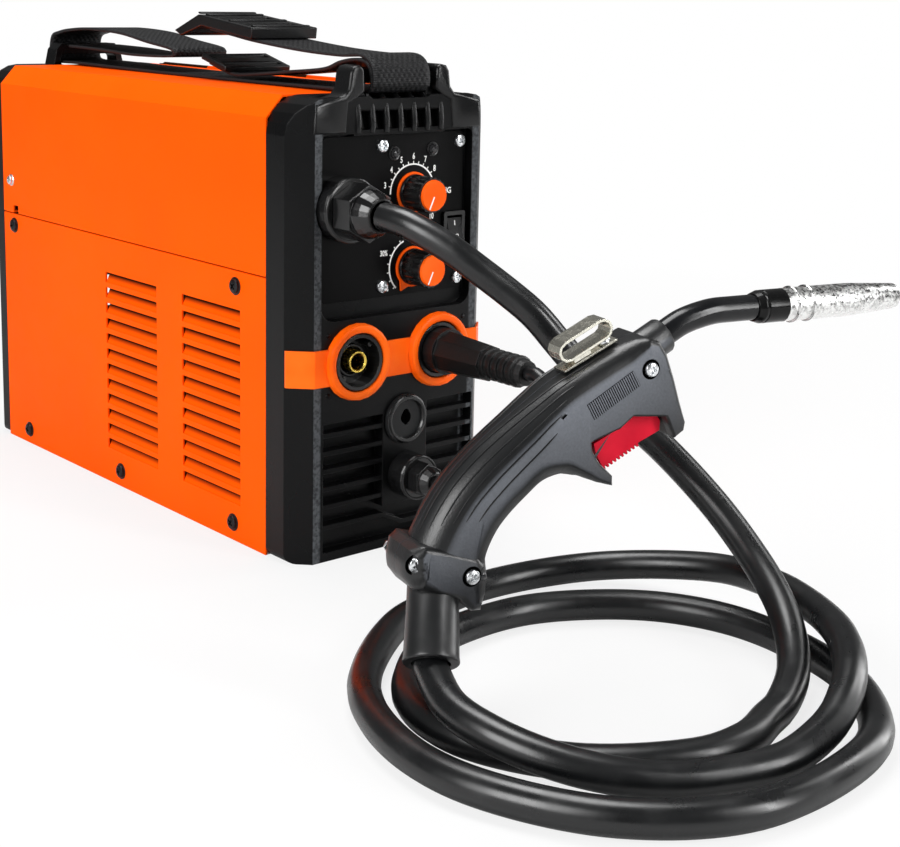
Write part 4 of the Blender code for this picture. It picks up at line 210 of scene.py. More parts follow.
def grip_moulding(name):
    """Black nylon of the torch grip, with a painted reflection: pale grey on its flat sides, strongest
    towards the top.
    """
    made = Finish(name)
    fine = made.noise(900)
    broad = made.noise(22, 3)
    across = (math.sin(TORCH_TURN), -math.cos(TORCH_TURN), 0)
    sockets = {0: made.place("Normal"), 1: across}
    facing = made.node("ShaderNodeVectorMath", {"operation": "DOT_PRODUCT"}, sockets, "Value")
    # painted reflection: flat sides facing across the torch, upper part most, turn pale grey for the floor's
    # light
    painted_reflection = facing.size().spread(0.94, 0.998, 0, 1) * broad.spread(0.2, 0.6, 0.6, 1)
    x, y, z = made.parts(made.place())
    painted_reflection = painted_reflection * (z - x * 0.6).spread(0.125, 0.175, 0.12, 1)
    share = painted_reflection * (fine * 0.4 + 0.6)
    black, reflected_grey = (0.0045, 0.0048, 0.0053), (0.160, 0.173, 0.200)
    made.tone(share, black, reflected_grey, (broad, 0.30, 0.40), specular_ior_level=0.5)
    return made.relief(fine, 0.00009, 0.9)


def glossy(name, colour, rough, edge=0.0005, shine=0.5):
    """Smooth plastic with faint smears."""
    made = Finish(name)
    smear = made.noise(35, 3)
    pale = tuple(min(1, part * 1.35 + 0.006) for part in colour)
    share = smear.spread(0.4, 0.7, 0, 1)
    made.tone(share, colour, pale, (smear, rough - 0.04, rough + 0.07), specular_ior_level=shine)
    return made.relief(made.noise(240), 0.00005, 0.5, edge)


def hose_rubber(name, colour, rough):
    """Smooth cable sheath with faint ripples, scuffs and dust."""
    made = Finish(name)
    scuff = made.noise(45, 4, 0.65)
    dust = made.noise(700)
    pale = tuple(part * 2.4 + 0.02 for part in colour)
    mask = scuff.spread(0.55, 0.75, 0, 0.5) * dust.spread(0.5, 0.66, 0.1, 1)
    made.tone(mask, colour, pale, specular_ior_level=0.5)
    made.set(roughness=scuff.spread(0.35, 0.7, rough - 0.05, rough + 0.10))
    return made.relief(made.noise(20, 1) + dust * 0.02, 0.0004, 0.35)


def metal(name, colour, rough, scratch=300, depth=0.00004):
    """Bare or plated metal with fine marks."""
    made = Finish(name)
    fine = made.noise(scratch, 4, 0.7)
    dark = tuple(part * 0.72 for part in colour)
    made.tone(fine.spread(0.4, 0.75, 0, 0.7), colour, dark, metallic=1)
    made.set(roughness=fine.spread(0.3, 0.75, rough - 0.06, rough + 0.14))
    return made.relief(fine, depth, 0.8, 0.0003)


def spattered_nozzle(name):
    """Bright nozzle plating, mottled dark by spatter on its upper side."""
    made = Finish(name)
    speck = made.noise(620, 3, 0.7)
    x, y, z = made.parts(made.place())
    grime = (speck * 0.75 + made.noise(150) * 0.25).spread(0.38, 0.56, 1, 0)
    share = grime * z.spread(*NOZZLE_UPPER, 0.04, 1) * 0.9
    made.tone(share, (0.86, 0.86, 0.85), (0.05, 0.052, 0.05), (speck, 0.2, 0.42), metallic=1)
    return made.relief(speck, 0.00012, 0.8)


def plated_sheet(name):
    """Zinc-plated sheet with its broad spangle."""
    made = Finish(name)
    flake = made.node("ShaderNodeTexVoronoi", {}, {"Vector": made.place(), "Scale": 85})
    grain = made.noise(420, 3)
    made.tone(flake.spread(0.1, 0.8, 0, 1), (0.56, 0.57, 0.57), (0.40, 0.41, 0.43), metallic=0.9)
    made.set(roughness=(flake * 0.5 + grain * 0.5).spread(0.2, 0.7, 0.34, 0.5))
    return made.relief(grain, 0.00004, 0.6)


def woven_webbing(name):
    """Polypropylene webbing: crossed ribs of yarn, read from its own map."""
    made = Finish(name)
    across, along, rest = made.parts(made.place("UV"))
    cross = (across * (math.tau * 11)).wave() * (along * (math.tau * 0.5)).wave()
    row = (along * math.tau).wave().size()
    fuzz = made.noise(1500, 3)
    edge = (across - 0.5).size().spread(0.42, 0.47, 0, 1)
    yarn = (cross + fuzz).spread(-0.4, 1.2, 0, 1)
    dark = made.blend(yarn, (0.0008, 0.0008, 0.001), (0.012, 0.012, 0.013))
    made.tone(edge * row, dark, (0.02, 0.02, 0.021), roughness=0.5, specular_ior_level=0.14)
    return made.relief(cross * 0.55 + row * 0.45 + fuzz * 0.5, 0.0005, 0.9)


def layered(name, pitch, bands, grain, rough, first, second, metallic, depth, strength):
    """Thin layers side by side across the machine: turns of wire, or sheets of a core."""
    made = Finish(name)
    x, y, z = made.parts(made.place())
    layers = (x * (math.tau / pitch)).wave()
    tint = made.noise(*grain)
    share = (layers * bands + tint).spread(0, 1, 0, 1)
    made.tone(share, first, second, (tint, *rough), metallic=metallic)
    return made.relief(layers, depth, strength)


def circuit_green(name):
    """Lacquered circuit board with its tracks."""
    made = Finish(name)
    x, y, z = made.parts(made.place())
    tracks = ((y * (math.tau / 0.006)).wave() * (z * (math.tau / 0.008)).wave()).above(0.25)
    made.tone(tracks, (0.012, 0.075, 0.028), (0.03, 0.15, 0.06), (made.noise(90), 0.22, 0.36))
    return made.relief(tracks, 0.00005, 0.6)


def printed_white(name):
    """Screen-printed ink, slightly worn."""
    made = Finish(name)
    wear = made.noise(700, 3)
    share = wear.spread(0.4, 0.7, 0, 0.5)
    return made.tone(share, (0.86, 0.86, 0.84), (0.62, 0.62, 0.6), (wear, 0.5, 0.6))


def painted_hollow_shade(name):
    """Painted shade: a flat near-black that stands for the unlit depth behind an opening."""
    made = Finish(name)
    near, far = (0.0004,) * 3, (0.0012,) * 3
    return made.tone(made.noise(80), near, far, roughness=0.9, specular_ior_level=0)


ORANGE = ((0.98, 0.094, 0.0008), (0.93, 0.070, 0.0006))
FRAME_BLACK = (0.0020, 0.0021, 0.0023)

# Every finish on the machine, by the name of what it is on
FINISHES = {
    "orange_sheet": (sheet_paint, *ORANGE, None),
    # the louvred sides keep sheet_paint's painted shade inside their louvres; the lid has none
    "louvred_sheet": (sheet_paint, *ORANGE),
    "case_plastic": (moulded, FRAME_BLACK, 0.32, 1500, 0.00007, 0.0009, 0.12),
    # its last colour is the painted sheen on the front moulding's forward-facing border
    "rimmed_plastic": (moulded, FRAME_BLACK, 0.30, 1500, 0.00007, 0.0009, 0.14, (0.075, 0.080, 0.086)),
    "cover_plastic": (moulded, (0.010, 0.0105, 0.011), 0.36, 1500, 0.00007, 0.0009, 0.2),
    "frame_gloss": (moulded, (0.0022, 0.0023, 0.0025), 0.24, 1500, 0.00005, 0.0009, 0.3),
    "panel_plate": (moulded, (0.0012, 0.0012, 0.0013), 0.34, 2200, 0.00003, 0.0004, 0.08),
    "orange_trim": (glossy, (0.96, 0.105, 0.001), 0.36, 0.0007, 0.12),
    "cap_orange": (glossy, (0.95, 0.092, 0.001), 0.36, 0.0005, 0.1),
    "knob_black": (glossy, (0.002, 0.002, 0.0022), 0.26, 0.0003),
    "gland_nylon": (glossy, (0.0016, 0.0016, 0.0018), 0.20, 0.0007),
    "socket_plastic": (glossy, (0.0018, 0.0018, 0.0019), 0.28, 0.0005),
    "grip_plastic": (grip_moulding,),
    "buckle_plastic": (moulded, (0.0025, 0.0026, 0.0028), 0.34, 900, 0.00005, 0.0007),
    "plug_rubber": (moulded, (0.0024, 0.0024, 0.0025), 0.38, 900, 0.00008, 0.0006),
    "sheath": (hose_rubber, (0.0030, 0.0033, 0.0037), 0.30),
    "sleeve_rubber": (hose_rubber, (0.006, 0.0064, 0.0068), 0.36),
    "neck_coat": (glossy, (0.0035, 0.0038, 0.0045), 0.18, 0, 0.28),
    "insulator_black": (glossy, (0.002, 0.002, 0.0021), 0.16, 0.0004, 0.2),
    "machined_brass": (metal, (0.85, 0.62, 0.12), 0.24, 500),
    "screw_steel": (metal, (0.78, 0.80, 0.82), 0.24, 420),
    "nozzle_steel": (spattered_nozzle,),
    "spring_steel": (metal, (0.8, 0.8, 0.8), 0.18, 380),
    "hook_steel": (metal, (0.78, 0.76, 0.66), 0.2, 500, 0.00002),
    "roller_steel": (metal, (0.66, 0.66, 0.67), 0.26, 350),
    "tip_copper": (metal, (0.80, 0.42, 0.26), 0.28, 350),
    "blackened_screw": (metal, (0.035, 0.035, 0.037), 0.34, 500),
    "zinc_plate": (plated_sheet,),
    "webbing_weave": (woven_webbing,),
    "spool_wire": (
        layered, 0.0016, 0.5, (120, 2), (0.24, 0.4), (0.30, 0.12, 0.06), (0.80, 0.42, 0.24),
        1, 0.0004, 0.8,
    ),
    "core_laminate": (
        layered, 0.0012, 0.4, (50, 3), (0.38, 0.55), (0.016, 0.014, 0.012), (0.07, 0.062, 0.055),
        0.4, 0.0002, 0.5,
    ),
    "board_lacquer": (circuit_green,),
    "feeder_enamel": (moulded, (0.02, 0.02, 0.021), 0.34, 1200, 0.00005, 0.0005),
    "trigger_red": (glossy, (0.56, 0.004, 0.022), 0.42, 0.0003, 0.1),
    "lamp_smoke": (glossy, (0.010, 0.010, 0.011), 0.12, 0),
    "print_white": (printed_white,),
    "hollow_dark": (painted_hollow_shade,),
}
FINISH = {name: maker(name, *values).material for name, (maker, *values) in FINISHES.items()}

NODE_FINISH = {
    "orange_sheet": "lid",
    "louvred_sheet": "left_lower_panel right_side_panel",
    "rimmed_plastic": "front_frame",
    "cover_plastic": "blank_cover",
    "case_plastic": "rear_frame fan_frame fan_rotor wire_spool spool_spindle",
    "panel_plate": "control_plate",
    "orange_trim": "colour_band",
    "cap_orange": "upper_knob_cap lower_knob_cap",
    "knob_black": "upper_knob lower_knob mode_rocker mode_switch power_rocker power_switch",
    "gland_nylon": "torch_gland_body torch_gland_nut lead_gland_body lead_gland_nut mains_gland",
    "socket_plastic": "left_socket right_socket",
    "grip_plastic": "torch_grip_left torch_grip_right",
    "buckle_plastic": "rear_strap_buckle front_strap_buckle",
    "plug_rubber": "polarity_plug",
    "sleeve_rubber": "torch_sleeve",
    "neck_coat": "torch_neck",
    "insulator_black": "torch_insulator",
    "machined_brass": "left_socket_contact polarity_plug_pin",
    "nozzle_steel": "torch_nozzle",
    "hook_steel": "torch_hook",
    "roller_steel": "drive_roller pressure_roller lid_hinge_pin",
    "tip_copper": "contact_tip",
    "zinc_plate": "base_pan bay_wall wire_bay_deck feed_motor",
    "spool_wire": "wire_winding",
    "core_laminate": "transformer",
    "board_lacquer": "inverter_board",
    "feeder_enamel": "feeder_body",
    "trigger_red": "torch_trigger",
    "lamp_smoke": "left_signal_lens right_signal_lens",
}


def dress_nodes():
    for finish, names in NODE_FINISH.items():
        for name in names.split():
            for place in nodes[name].material_slots:
                place.material = FINISH[finish]


# ---------------------------------------------------------------- making pieces


def settled(made, finish, body):
    """Link a piece, dress it and let it ride on its body."""
    made.data.materials.append(FINISH[finish])
    bpy.context.scene.collection.objects.link(made)
    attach(made, body)
    return made


def piece(name, bm, finish, body="machine", at=None, smooth=35):
    """A millimetre bmesh becomes a piece in metres that rides on a body."""
    if at:
        bmesh.ops.transform(bm, matrix=at, verts=bm.verts)
    bmesh.ops.recalc_face_normals(bm, faces=bm.faces)
    bmesh.ops.scale(bm, vec=(MM, MM, MM), verts=bm.verts)
    mesh = bpy.data.meshes.new(name)
    bm.to_mesh(mesh)
    bm.free()
    mesh.shade_smooth()
    mesh.set_sharp_from_angle(angle=math.radians(smooth))
    return settled(bpy.data.objects.new(name, mesh), finish, body)


def torch_piece(name, bm, finish, body="machine", smooth=35):
    """A piece drawn along the torch: along, across and up from its own origin."""
    return piece(name, bm, finish, body, TORCH, smooth)


def joined(bm, part):
    """Put a finished shape in with the others of its piece."""
    if bm is None:
        return part
    carrier = bpy.data.meshes.new("carrier")
    part.to_mesh(carrier)
    part.free()
    bm.from_mesh(carrier)
    bpy.data.meshes.remove(carrier)
    return bm


def facing(axis):
    """Turn that carries Z onto an axis."""
    return Vector(axis).to_track_quat("Z", "Y").to_matrix().to_4x4()


def placed(part, at, turn, bm):
    """Set a finished shape in its place, with the others of its piece."""
    bmesh.ops.transform(part, matrix=Matrix.Translation(at) @ turn, verts=part.verts)
    return joined(bm, part)


def softened(part, edges, width, segments=2):
    bmesh.ops.bevel(
        part, geom=edges, offset=width, segments=segments, profile=0.5, affect="EDGES", material=-1
    )


def turned(profile, at, axis=FORWARD, steps=32, bm=None):
    """Profile of (radius, height) spun about an axis through a point."""
    part = bmesh.new()
    verts = [part.verts.new((radius, 0, height)) for radius, height in profile]
    edges = [part.edges.new(pair) for pair in zip(verts, verts[1:])]
    bmesh.ops.spin(
        part, geom=verts + edges, cent=(0, 0, 0), axis=(0, 0, 1), angle=math.tau, steps=steps, use_merge=True
    )
    bmesh.ops.remove_doubles(part, verts=part.verts, dist=0.002)
    return placed(part, at, facing(axis), bm)


def slab(outline, at, axis, low, high, bm=None, rounding=0, segments=2):
    """A flat outline given thickness along an axis, its far rim rounded."""
    part = bmesh.new()
    face = part.faces.new([part.verts.new((x, y, low)) for x, y in outline])
    grown = bmesh.ops.extrude_face_region(part, geom=[face])["geom"]
    moved = [item for item in grown if isinstance(item, bmesh.types.BMVert)]
    bmesh.ops.translate(part, verts=moved, vec=(0, 0, high - low))
    if rounding:
        softened(part, [item for item in grown if isinstance(item, bmesh.types.BMEdge)], rounding, segments)
    return placed(part, at, axis, bm)


def box(low, high, rounding=0):
    """A block between two corners with soft edges."""
    part = bmesh.new()
    bmesh.ops.create_cube(part, size=1)
    bmesh.ops.scale(part, vec=[b - a for a, b in zip(low, high)], verts=part.verts)
    bmesh.ops.translate(part, vec=[(a + b) / 2 for a, b in zip(low, high)], verts=part.verts)
    if rounding:
        softened(part, part.edges[:], rounding)
    return part


def circle(radius, count):
    turns = [math.tau * index / count for index in range(count)]
    return [(radius * math.cos(turn), radius * math.sin(turn)) for turn in turns]


def skin(part, first, second):
    """Faces between two closed rings of the same length."""
    for index in range(len(first)):
        after = (index + 1) % len(first)
        part.faces.new((first[index], first[after], second[after], second[index]))


def tube(part, rings):
    """Faces along a row of rings, and both ends closed."""
    for first, second in zip(rings, rings[1:]):
        skin(part, first, second)
    return [part.faces.new(rings[0]), part.faces.new(rings[-1])]


# Turns that lay a flat drawing upright on the machine: its x, y and thickness run along these
ON_FRONT = Matrix(((1, 0, 0, 0), (0, 0, -1, 0), (0, 1, 0, 0), (0, 0, 0, 1)))
ON_REAR = Matrix(((-1, 0, 0, 0), (0, 0, 1, 0), (0, 1, 0, 0), (0, 0, 0, 1)))
ON_RIGHT = Matrix(((0, 0, 1, 0), (1, 0, 0, 0), (0, 1, 0, 0), (0, 0, 0, 1)))
ON_GRIP = Matrix(((1, 0, 0, 0), (0, 0, 1, 0), (0, 1, 0, 0), (0, 0, 0, 1)))
ORIGIN = (0, 0, 0)


def travelled(points):
    """Distance along a row of points, at each of them."""
    lengths = [0]
    for before, after in zip(points, points[1:]):
        lengths.append(lengths[-1] + (after - before).length)
    return lengths


def smooth_route(stations, step):
    """Even points on one smooth curve through a route's own points."""
    points = [Vector(station) for station in stations]
    ends = [points[0] * 2 - points[1]] + points + [points[-1] * 2 - points[-2]]
    fine = []
    for first, second, third, fourth in zip(ends, ends[1:], ends[2:], ends[3:]):
        for part in range(16):
            t = part / 16
            a = second * 2 + (third - first) * t
            b = (first * 2 - second * 5 + third * 4 - fourth) * t * t
            c = (second * 3 - third * 3 + fourth - first) * t * t * t
            fine.append((a + b + c) / 2)
    fine.append(points[-1])
    lengths = travelled(fine)
    count = max(2, round(lengths[-1] / step))
    even = []
    place = 0
    for index in range(count + 1):
        wanted = lengths[-1] * index / count
        while place < len(fine) - 2 and lengths[place + 1] < wanted:
            place += 1
        share = (wanted - lengths[place]) / (lengths[place + 1] - lengths[place])
        even.append(fine[place].lerp(fine[place + 1], min(1, share)))
    return even


def round_cord(name, points, diameter, finish):
    """A round cord along a row of millimetre points, closed by flat caps."""
    curve = bpy.data.curves.new(name, "CURVE")
    curve.dimensions = "3D"
    curve.bevel_depth = diameter / 2 * MM
    curve.bevel_resolution = 6
    curve.use_fill_caps = True
    spline = curve.splines.new("POLY")
    spline.points.add(len(points) - 1)
    for knot, point in zip(spline.points, points):
        knot.co = (*(Vector(point) * MM), 1)
    spline.use_smooth = True
    return settled(bpy.data.objects.new(name, curve), finish, "machine")


# ---------------------------------------------------------------- torch cable

DROP_ROUTE = (
    (-37, -204, 191.5), (-35.4, -218.5, 190), (-31.5, -231, 185.6), (-24, -243.5, 178), (-15.5, -254, 168.8),
    (-4.5, -265, 157.4), (3.5, -275, 147.2), (12, -284.5, 133), (25, -302, 109.5), (41, -328.5, 85.8),
    (49, -356, 63), (48.5, -382, 43.7), (41, -404.5, 30.3), (28.5, -422.5, 20.8), (10, -439, 13.6),
    (-12, -450.5, 9.4),
)
COIL_CENTRE = (-37, -385)
COIL_STATIONS = (
    (-82, 70.5, 0.3), (-99, 77, 0), (-120, 84, 0), (-150, 93.5, 0), (-178, 102.5, 0), (-202, 102.5, 0),
    (-230, 95, 0), (-251, 89, 0), (-280, 84, 0), (-310, 82, 0), (-335, 84, 0), (-360, 86, 0), (-390, 92, 0),
    (-414, 103, 0), (-440, 115, 0), (-473, 128, 0), (-498, 133, 0), (-523, 131, 0), (-545, 126, 0),
    (-570, 119.5, 0), (-600, 116, 0), (-620, 117.5, 0), (-645, 124, 0), (-670, 129, 3), (-696, 120, 11),
    (-716, 107, 15.5), (-736, 98, 17), (-757, 94, 18.5), (-776, 95, 16.5), (-790, 96.8, 11), (-803, 98, 5),
    (-820, 99.8, 0.5), (-838, 101, 0),
)
TAIL_STATIONS = (
    (-850, 104.3, 1.2), (-862, 108.5, 4.5), (-874, 111, 8.5), (-886, 111.5, 12.5), (-898, 108.6, 15.4),
)
SLEEVE_TOP = (-1.8, 0, 58)
SLEEVE_MOUTH = (-12.6, -20.9, 30)


def coil_point(angle, radius, rise):
    turn = math.radians(angle)
    x = COIL_CENTRE[0] + radius * math.cos(turn)
    y = COIL_CENTRE[1] + radius * math.sin(turn)
    return Vector((x, y, CABLE / 2 + GAP + rise))


def torch_cable():
    """The whole cable from the gland's mouth, down and round the coil, to the torch."""
    drop = [Vector(point) for point in DROP_ROUTE]
    coil = [coil_point(*station) for station in COIL_STATIONS]
    tail = [coil_point(*station) for station in TAIL_STATIONS]
    mouth = TORCH @ Vector(SLEEVE_MOUTH)
    axis = (TORCH @ Vector(SLEEVE_TOP) - mouth).normalized()
    entry = (axis + (mouth - tail[-1]).normalized()).normalized()
    tail += [mouth - entry * 4, mouth + entry * 3]
    points = smooth_route(drop + coil + tail, CABLE / 3)
    made = round_cord("torch_cable", points, CABLE, "sheath")
    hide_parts("torch_cable_drop", "torch_cable_coil", "torch_cable_tail")
    tuple(points[0] * MM)
    travelled(points)[-1] * MM


LEAD_ROUTE = (
    (7, -195.3, 40.5), (7, -206, 40.5), (7, -221, 41), (9, -245, 47), (14, -265, 61), (20, -275.5, 80),
    (25.5, -270, 98), (28, -253.3, 108.3), (28, -245.3, 108.5),
)


def polarity_lead():
    """The short lead between its gland and the plug in the right socket."""
    points = smooth_route(LEAD_ROUTE, LEAD / 3)
    made = round_cord("polarity_cable", points, LEAD, "sheath")
    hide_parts("polarity_lead")
    tuple(points[0] * MM)
    travelled(points)[-1] * MM


# ---------------------------------------------------------------- camera and light


def set_camera():
    """The photograph's own view: three-quarter from the front left, a little above."""
    yaw = math.radians(40.697)
    pitch = math.radians(10.387)
    roll = math.radians(1.196)
    ahead = Vector((math.sin(yaw) * math.cos(pitch), math.cos(yaw) * math.cos(pitch), -math.sin(pitch)))
    right = Vector((math.cos(yaw), -math.sin(yaw), 0))
    up = right.cross(ahead)
    across = right * math.cos(roll) + up * math.sin(roll)
    over = up * math.cos(roll) - right * math.sin(roll)
    camera = bpy.data.cameras.new("camera")
    camera.lens = 65.99
    camera.sensor_width = 36
    camera.shift_y = -0.15
    camera.clip_end = 50
    made = bpy.data.objects.new("camera", camera)
    turn = Matrix((across, over, -ahead)).transposed().to_4x4()
    made.matrix_world = Matrix.Translation(Vector((-553.4, -857, 307.6)) * MM) @ turn
    bpy.context.scene.collection.objects.link(made)
    bpy.context.scene.camera = made


def lamp(name, place, target, size, power):
    """A soft rectangular lamp turned to what it lights."""
    light = bpy.data.lights.new(name, "AREA")
    light.shape = "RECTANGLE"
    light.size, light.size_y = size
    light.energy = power
    made = bpy.data.objects.new(name, light)
    made.location = place
    made.rotation_euler = (Vector(target) - Vector(place)).to_track_quat("-Z", "Y").to_euler()
    bpy.context.scene.collection.objects.link(made)


def white_surround():
    """Dim white light from all round, seen as clear white by the camera."""
    world = bpy.data.worlds.new("studio")
    bpy.context.scene.world = world
    world.use_nodes = True
    tree = world.node_tree
    path = tree.nodes.new("ShaderNodeLightPath")
    seen = tree.nodes.new("ShaderNodeMath")
    seen.operation = "MAXIMUM"
    mix = tree.nodes.new("ShaderNodeMixShader")
    for index, ray in enumerate(("Is Camera Ray", "Is Transmission Ray")):
        tree.links.new(path.outputs[ray], seen.inputs[index])
    tree.links.new(seen.outputs[0], mix.inputs[0])
    shown = tree.nodes.new("ShaderNodeBackground")
    for index, (back, strength) in enumerate(((tree.nodes["Background"], 0.16), (shown, 1))):
        back.inputs["Color"].default_value = (1, 1, 1, 1)
        back.inputs["Strength"].default_value = strength
        tree.links.new(back.outputs[0], mix.inputs[index + 1])
    tree.links.new(mix.outputs[0], tree.nodes["World Output"].inputs["Surface"])


def floor():
    """Pale ground that catches shadows and fades to white away from the machine."""
    bm = bmesh.new()
    bmesh.ops.create_grid(bm, x_segments=1, y_segments=1, size=30)
    mesh = bpy.data.meshes.new("floor")
    bm.to_mesh(mesh)
    bm.free()
    made = Finish("pale_floor")
    made.set(base_color=(0.6, 0.6, 0.6), roughness=0.9, specular_ior_level=0.1)
    seen = made.node("ShaderNodeLightPath", {}, {}, "Is Camera Ray")
    glow = made.node("ShaderNodeEmission", {}, {"Color": (1, 1, 1), "Strength": 1})
    plain = Wire(made, made.shader.outputs[0])
    away = made.node("ShaderNodeVectorMath", {"operation": "LENGTH"}, {0: made.place()}, "Value")
    fade = seen * away.spread(0.45, 0.95, 0.8, 1)
    mixed = made.node("ShaderNodeMixShader", {}, {0: fade, 1: plain, 2: glow})
    made.feed(made.tree.nodes["Material Output"].inputs["Surface"], mixed)
    mesh.materials.append(made.material)
    ground = bpy.data.objects.new("floor", mesh)
    ground.location = (0, 0, -0.0002)
    bpy.context.scene.collection.objects.link(ground)


def studio():
    bpy.context.scene.view_settings.view_transform = "Standard"
    white_surround()
    floor()
    lamp("left_softbox", (-2, -0.5, 1), (0, 0, 0.12), (1.2, 1.2), 50)
    lamp("top_softbox", (0.1, 0.3, 2.2), (0, -0.1, 0.1), (1, 1.4), 46)
    lamp("front_strip", (0.7, -2.2, 1), (0, -0.2, 0.1), (0.35, 1.5), 34)
    lamp("right_strip", (1.8, -0.7, 0.7), (0, -0.3, 0.1), (0.4, 1.4), 18)


# ---------------------------------------------------------------- shared details


def as_shown(made):
    """A passing object's final shape as a bmesh; the object goes."""
    bpy.context.view_layer.update()
    shown = made.evaluated_get(bpy.context.evaluated_depsgraph_get())
    result = bmesh.new()
    result.from_mesh(shown.to_mesh())
    shown.to_mesh_clear()
    bpy.data.objects.remove(made)
    return result


def loose(bm):
    """A passing object from a bmesh."""
    mesh = bpy.data.meshes.new("blank")
    bm.to_mesh(mesh)
    bm.free()
    made = bpy.data.objects.new("blank", mesh)
    bpy.context.scene.collection.objects.link(made)
    return made


def carved(bm, knife):
    """Cut one closed shape out of another and hand the result back."""
    body = loose(bm)
    blade = loose(knife)
    step = body.modifiers.new("cut", "BOOLEAN")
    step.operation = "DIFFERENCE"
    step.solver = "EXACT"
    step.object = blade
    step.use_self = True
    result = as_shown(body)
    bpy.data.objects.remove(blade)
    return result


def cross_head(radius, height):
    """Pan head of a screw with its cross recess, looking up Z."""
    profile = [(0, 0), (radius, 0), (radius, height * 0.35), (radius * 0.93, height * 0.7)]
    profile += [(radius * 0.72, height * 0.93), (radius * 0.4, height), (0, height)]
    head = turned(profile, ORIGIN, (0, 0, 1), 24)
    arm = radius * 0.56
    slot = radius * 0.15
    head = carved(head, box((-arm, -slot, height * 0.35), (arm, slot, height * 2)))
    return carved(head, box((-slot, -arm, height * 0.34), (slot, arm, height * 2)))


def screws(name, places, axis, radius, height, finish, body="machine", at=None):
    """A set of cross-head screws that face one way, each turned differently."""
    head = cross_head(radius, height)
    pattern = bpy.data.meshes.new("screw_pattern")
    head.to_mesh(pattern)
    head.free()
    bm = bmesh.new()
    for index, place in enumerate(places):
        part = bmesh.new()
        part.from_mesh(pattern)
        spin = Matrix.Rotation(math.radians(17 + 31 * index), 4, "Z")
        placed(part, place, facing(axis) @ spin, bm)
    bpy.data.meshes.remove(pattern)
    return piece(name, bm, finish, body, at)


def lettering(name, text, height, spot, squeeze, weight):
    """Printed characters a hair thick, centred on their place."""
    curve = bpy.data.curves.new(name, "FONT")
    curve.body = text
    curve.align_x = "CENTER"
    curve.align_y = "CENTER"
    curve.size = height * 1.42
    curve.offset = weight * height
    curve.extrude = 0.03
    curve.resolution_u = 3
    words = bpy.data.objects.new("words", curve)
    bpy.context.scene.collection.objects.link(words)
    bm = as_shown(words)
    bmesh.ops.remove_doubles(bm, verts=bm.verts, dist=0.0005)
    place = PANEL @ Matrix.Translation((*spot, 0)) @ Matrix.Diagonal((squeeze, 1, 1, 1))
    piece(name, bm, "print_white", at=place)


def arc_strip(centre, radius, width, start, end, turn, bm=None):
    """A printed arc: a small square carried round part of a circle."""
    part = bmesh.new()
    inner = radius - width / 2
    outer = radius + width / 2
    corners = [(inner, 0), (outer, 0), (outer, INK), (inner, INK)]
    rings = []
    steps = max(3, int(abs(end - start) / 5))
    for step in range(steps + 1):
        angle = math.radians(start + (end - start) * step / steps)
        rings.append([part.verts.new((a * math.cos(angle), a * math.sin(angle), b)) for a, b in corners])
    tube(part, rings)
    return placed(part, ORIGIN, turn @ Matrix.Translation((*centre, 0)), bm)


def spoke(centre, angle, inner, outer, width, turn, high=INK, bm=None):
    """A short straight mark that points away from a centre."""
    turn = turn @ Matrix.Translation((*centre, 0)) @ Matrix.Rotation(math.radians(angle), 4, "Z")
    outline = [(inner, -width / 2), (outer, -width / 2), (outer, width / 2), (inner, width / 2)]
    return slab(outline, ORIGIN, turn, 0, high, bm)


def ridge(points, radius, bm):
    """A thin rounded rib: a small ring carried along a row of points."""
    rows = []
    for index, point in enumerate(points):
        before = points[max(index - 1, 0)]
        after = points[min(index + 1, len(points) - 1)]
        along = (after - before).normalized()
        share = math.sin(math.pi * min(index, len(points) - 1 - index) / max(1, len(points) - 1))
        girth = radius * (0.35 + 0.65 * min(1, share * 4))
        ring = bmesh.ops.create_circle(bm, cap_ends=False, radius=girth, segments=8)["verts"]
        bmesh.ops.transform(bm, matrix=Matrix.Translation(point) @ facing(along), verts=ring)
        rows.append(ring)
    for first, second in zip(rows, rows[1:]):
        edges = [edge for vert in first for edge in vert.link_edges if edge.other_vert(vert) in first]
        more = [edge for vert in second for edge in vert.link_edges if edge.other_vert(vert) in second]
        bmesh.ops.bridge_loops(bm, edges=list(set(edges + more)))
    for ring in (rows[0], rows[-1]):
        bm.faces.new(ring)
    return bm


# ---------------------------------------------------------------- control panel

UPPER_DIAL = (12.5, 196.8)
LOWER_DIAL = (12.5, 156)
KNOB_BACK = -166.3
CAP_FRONT = -185
ON_PLATE = PLATE_FRONT - 0.02
PANEL = Matrix.Translation((0, ON_PLATE, 0)) @ ON_FRONT

# Angles of the upper dial's ticks: those numbered 1 to 10, and those between
NUMBERED = (217, 191.5, 166, 139, 114, 88.5, 63.5, 38.5, -3, -46)
BETWEEN = (152, 126, 101, 76, 51, 18, -25)


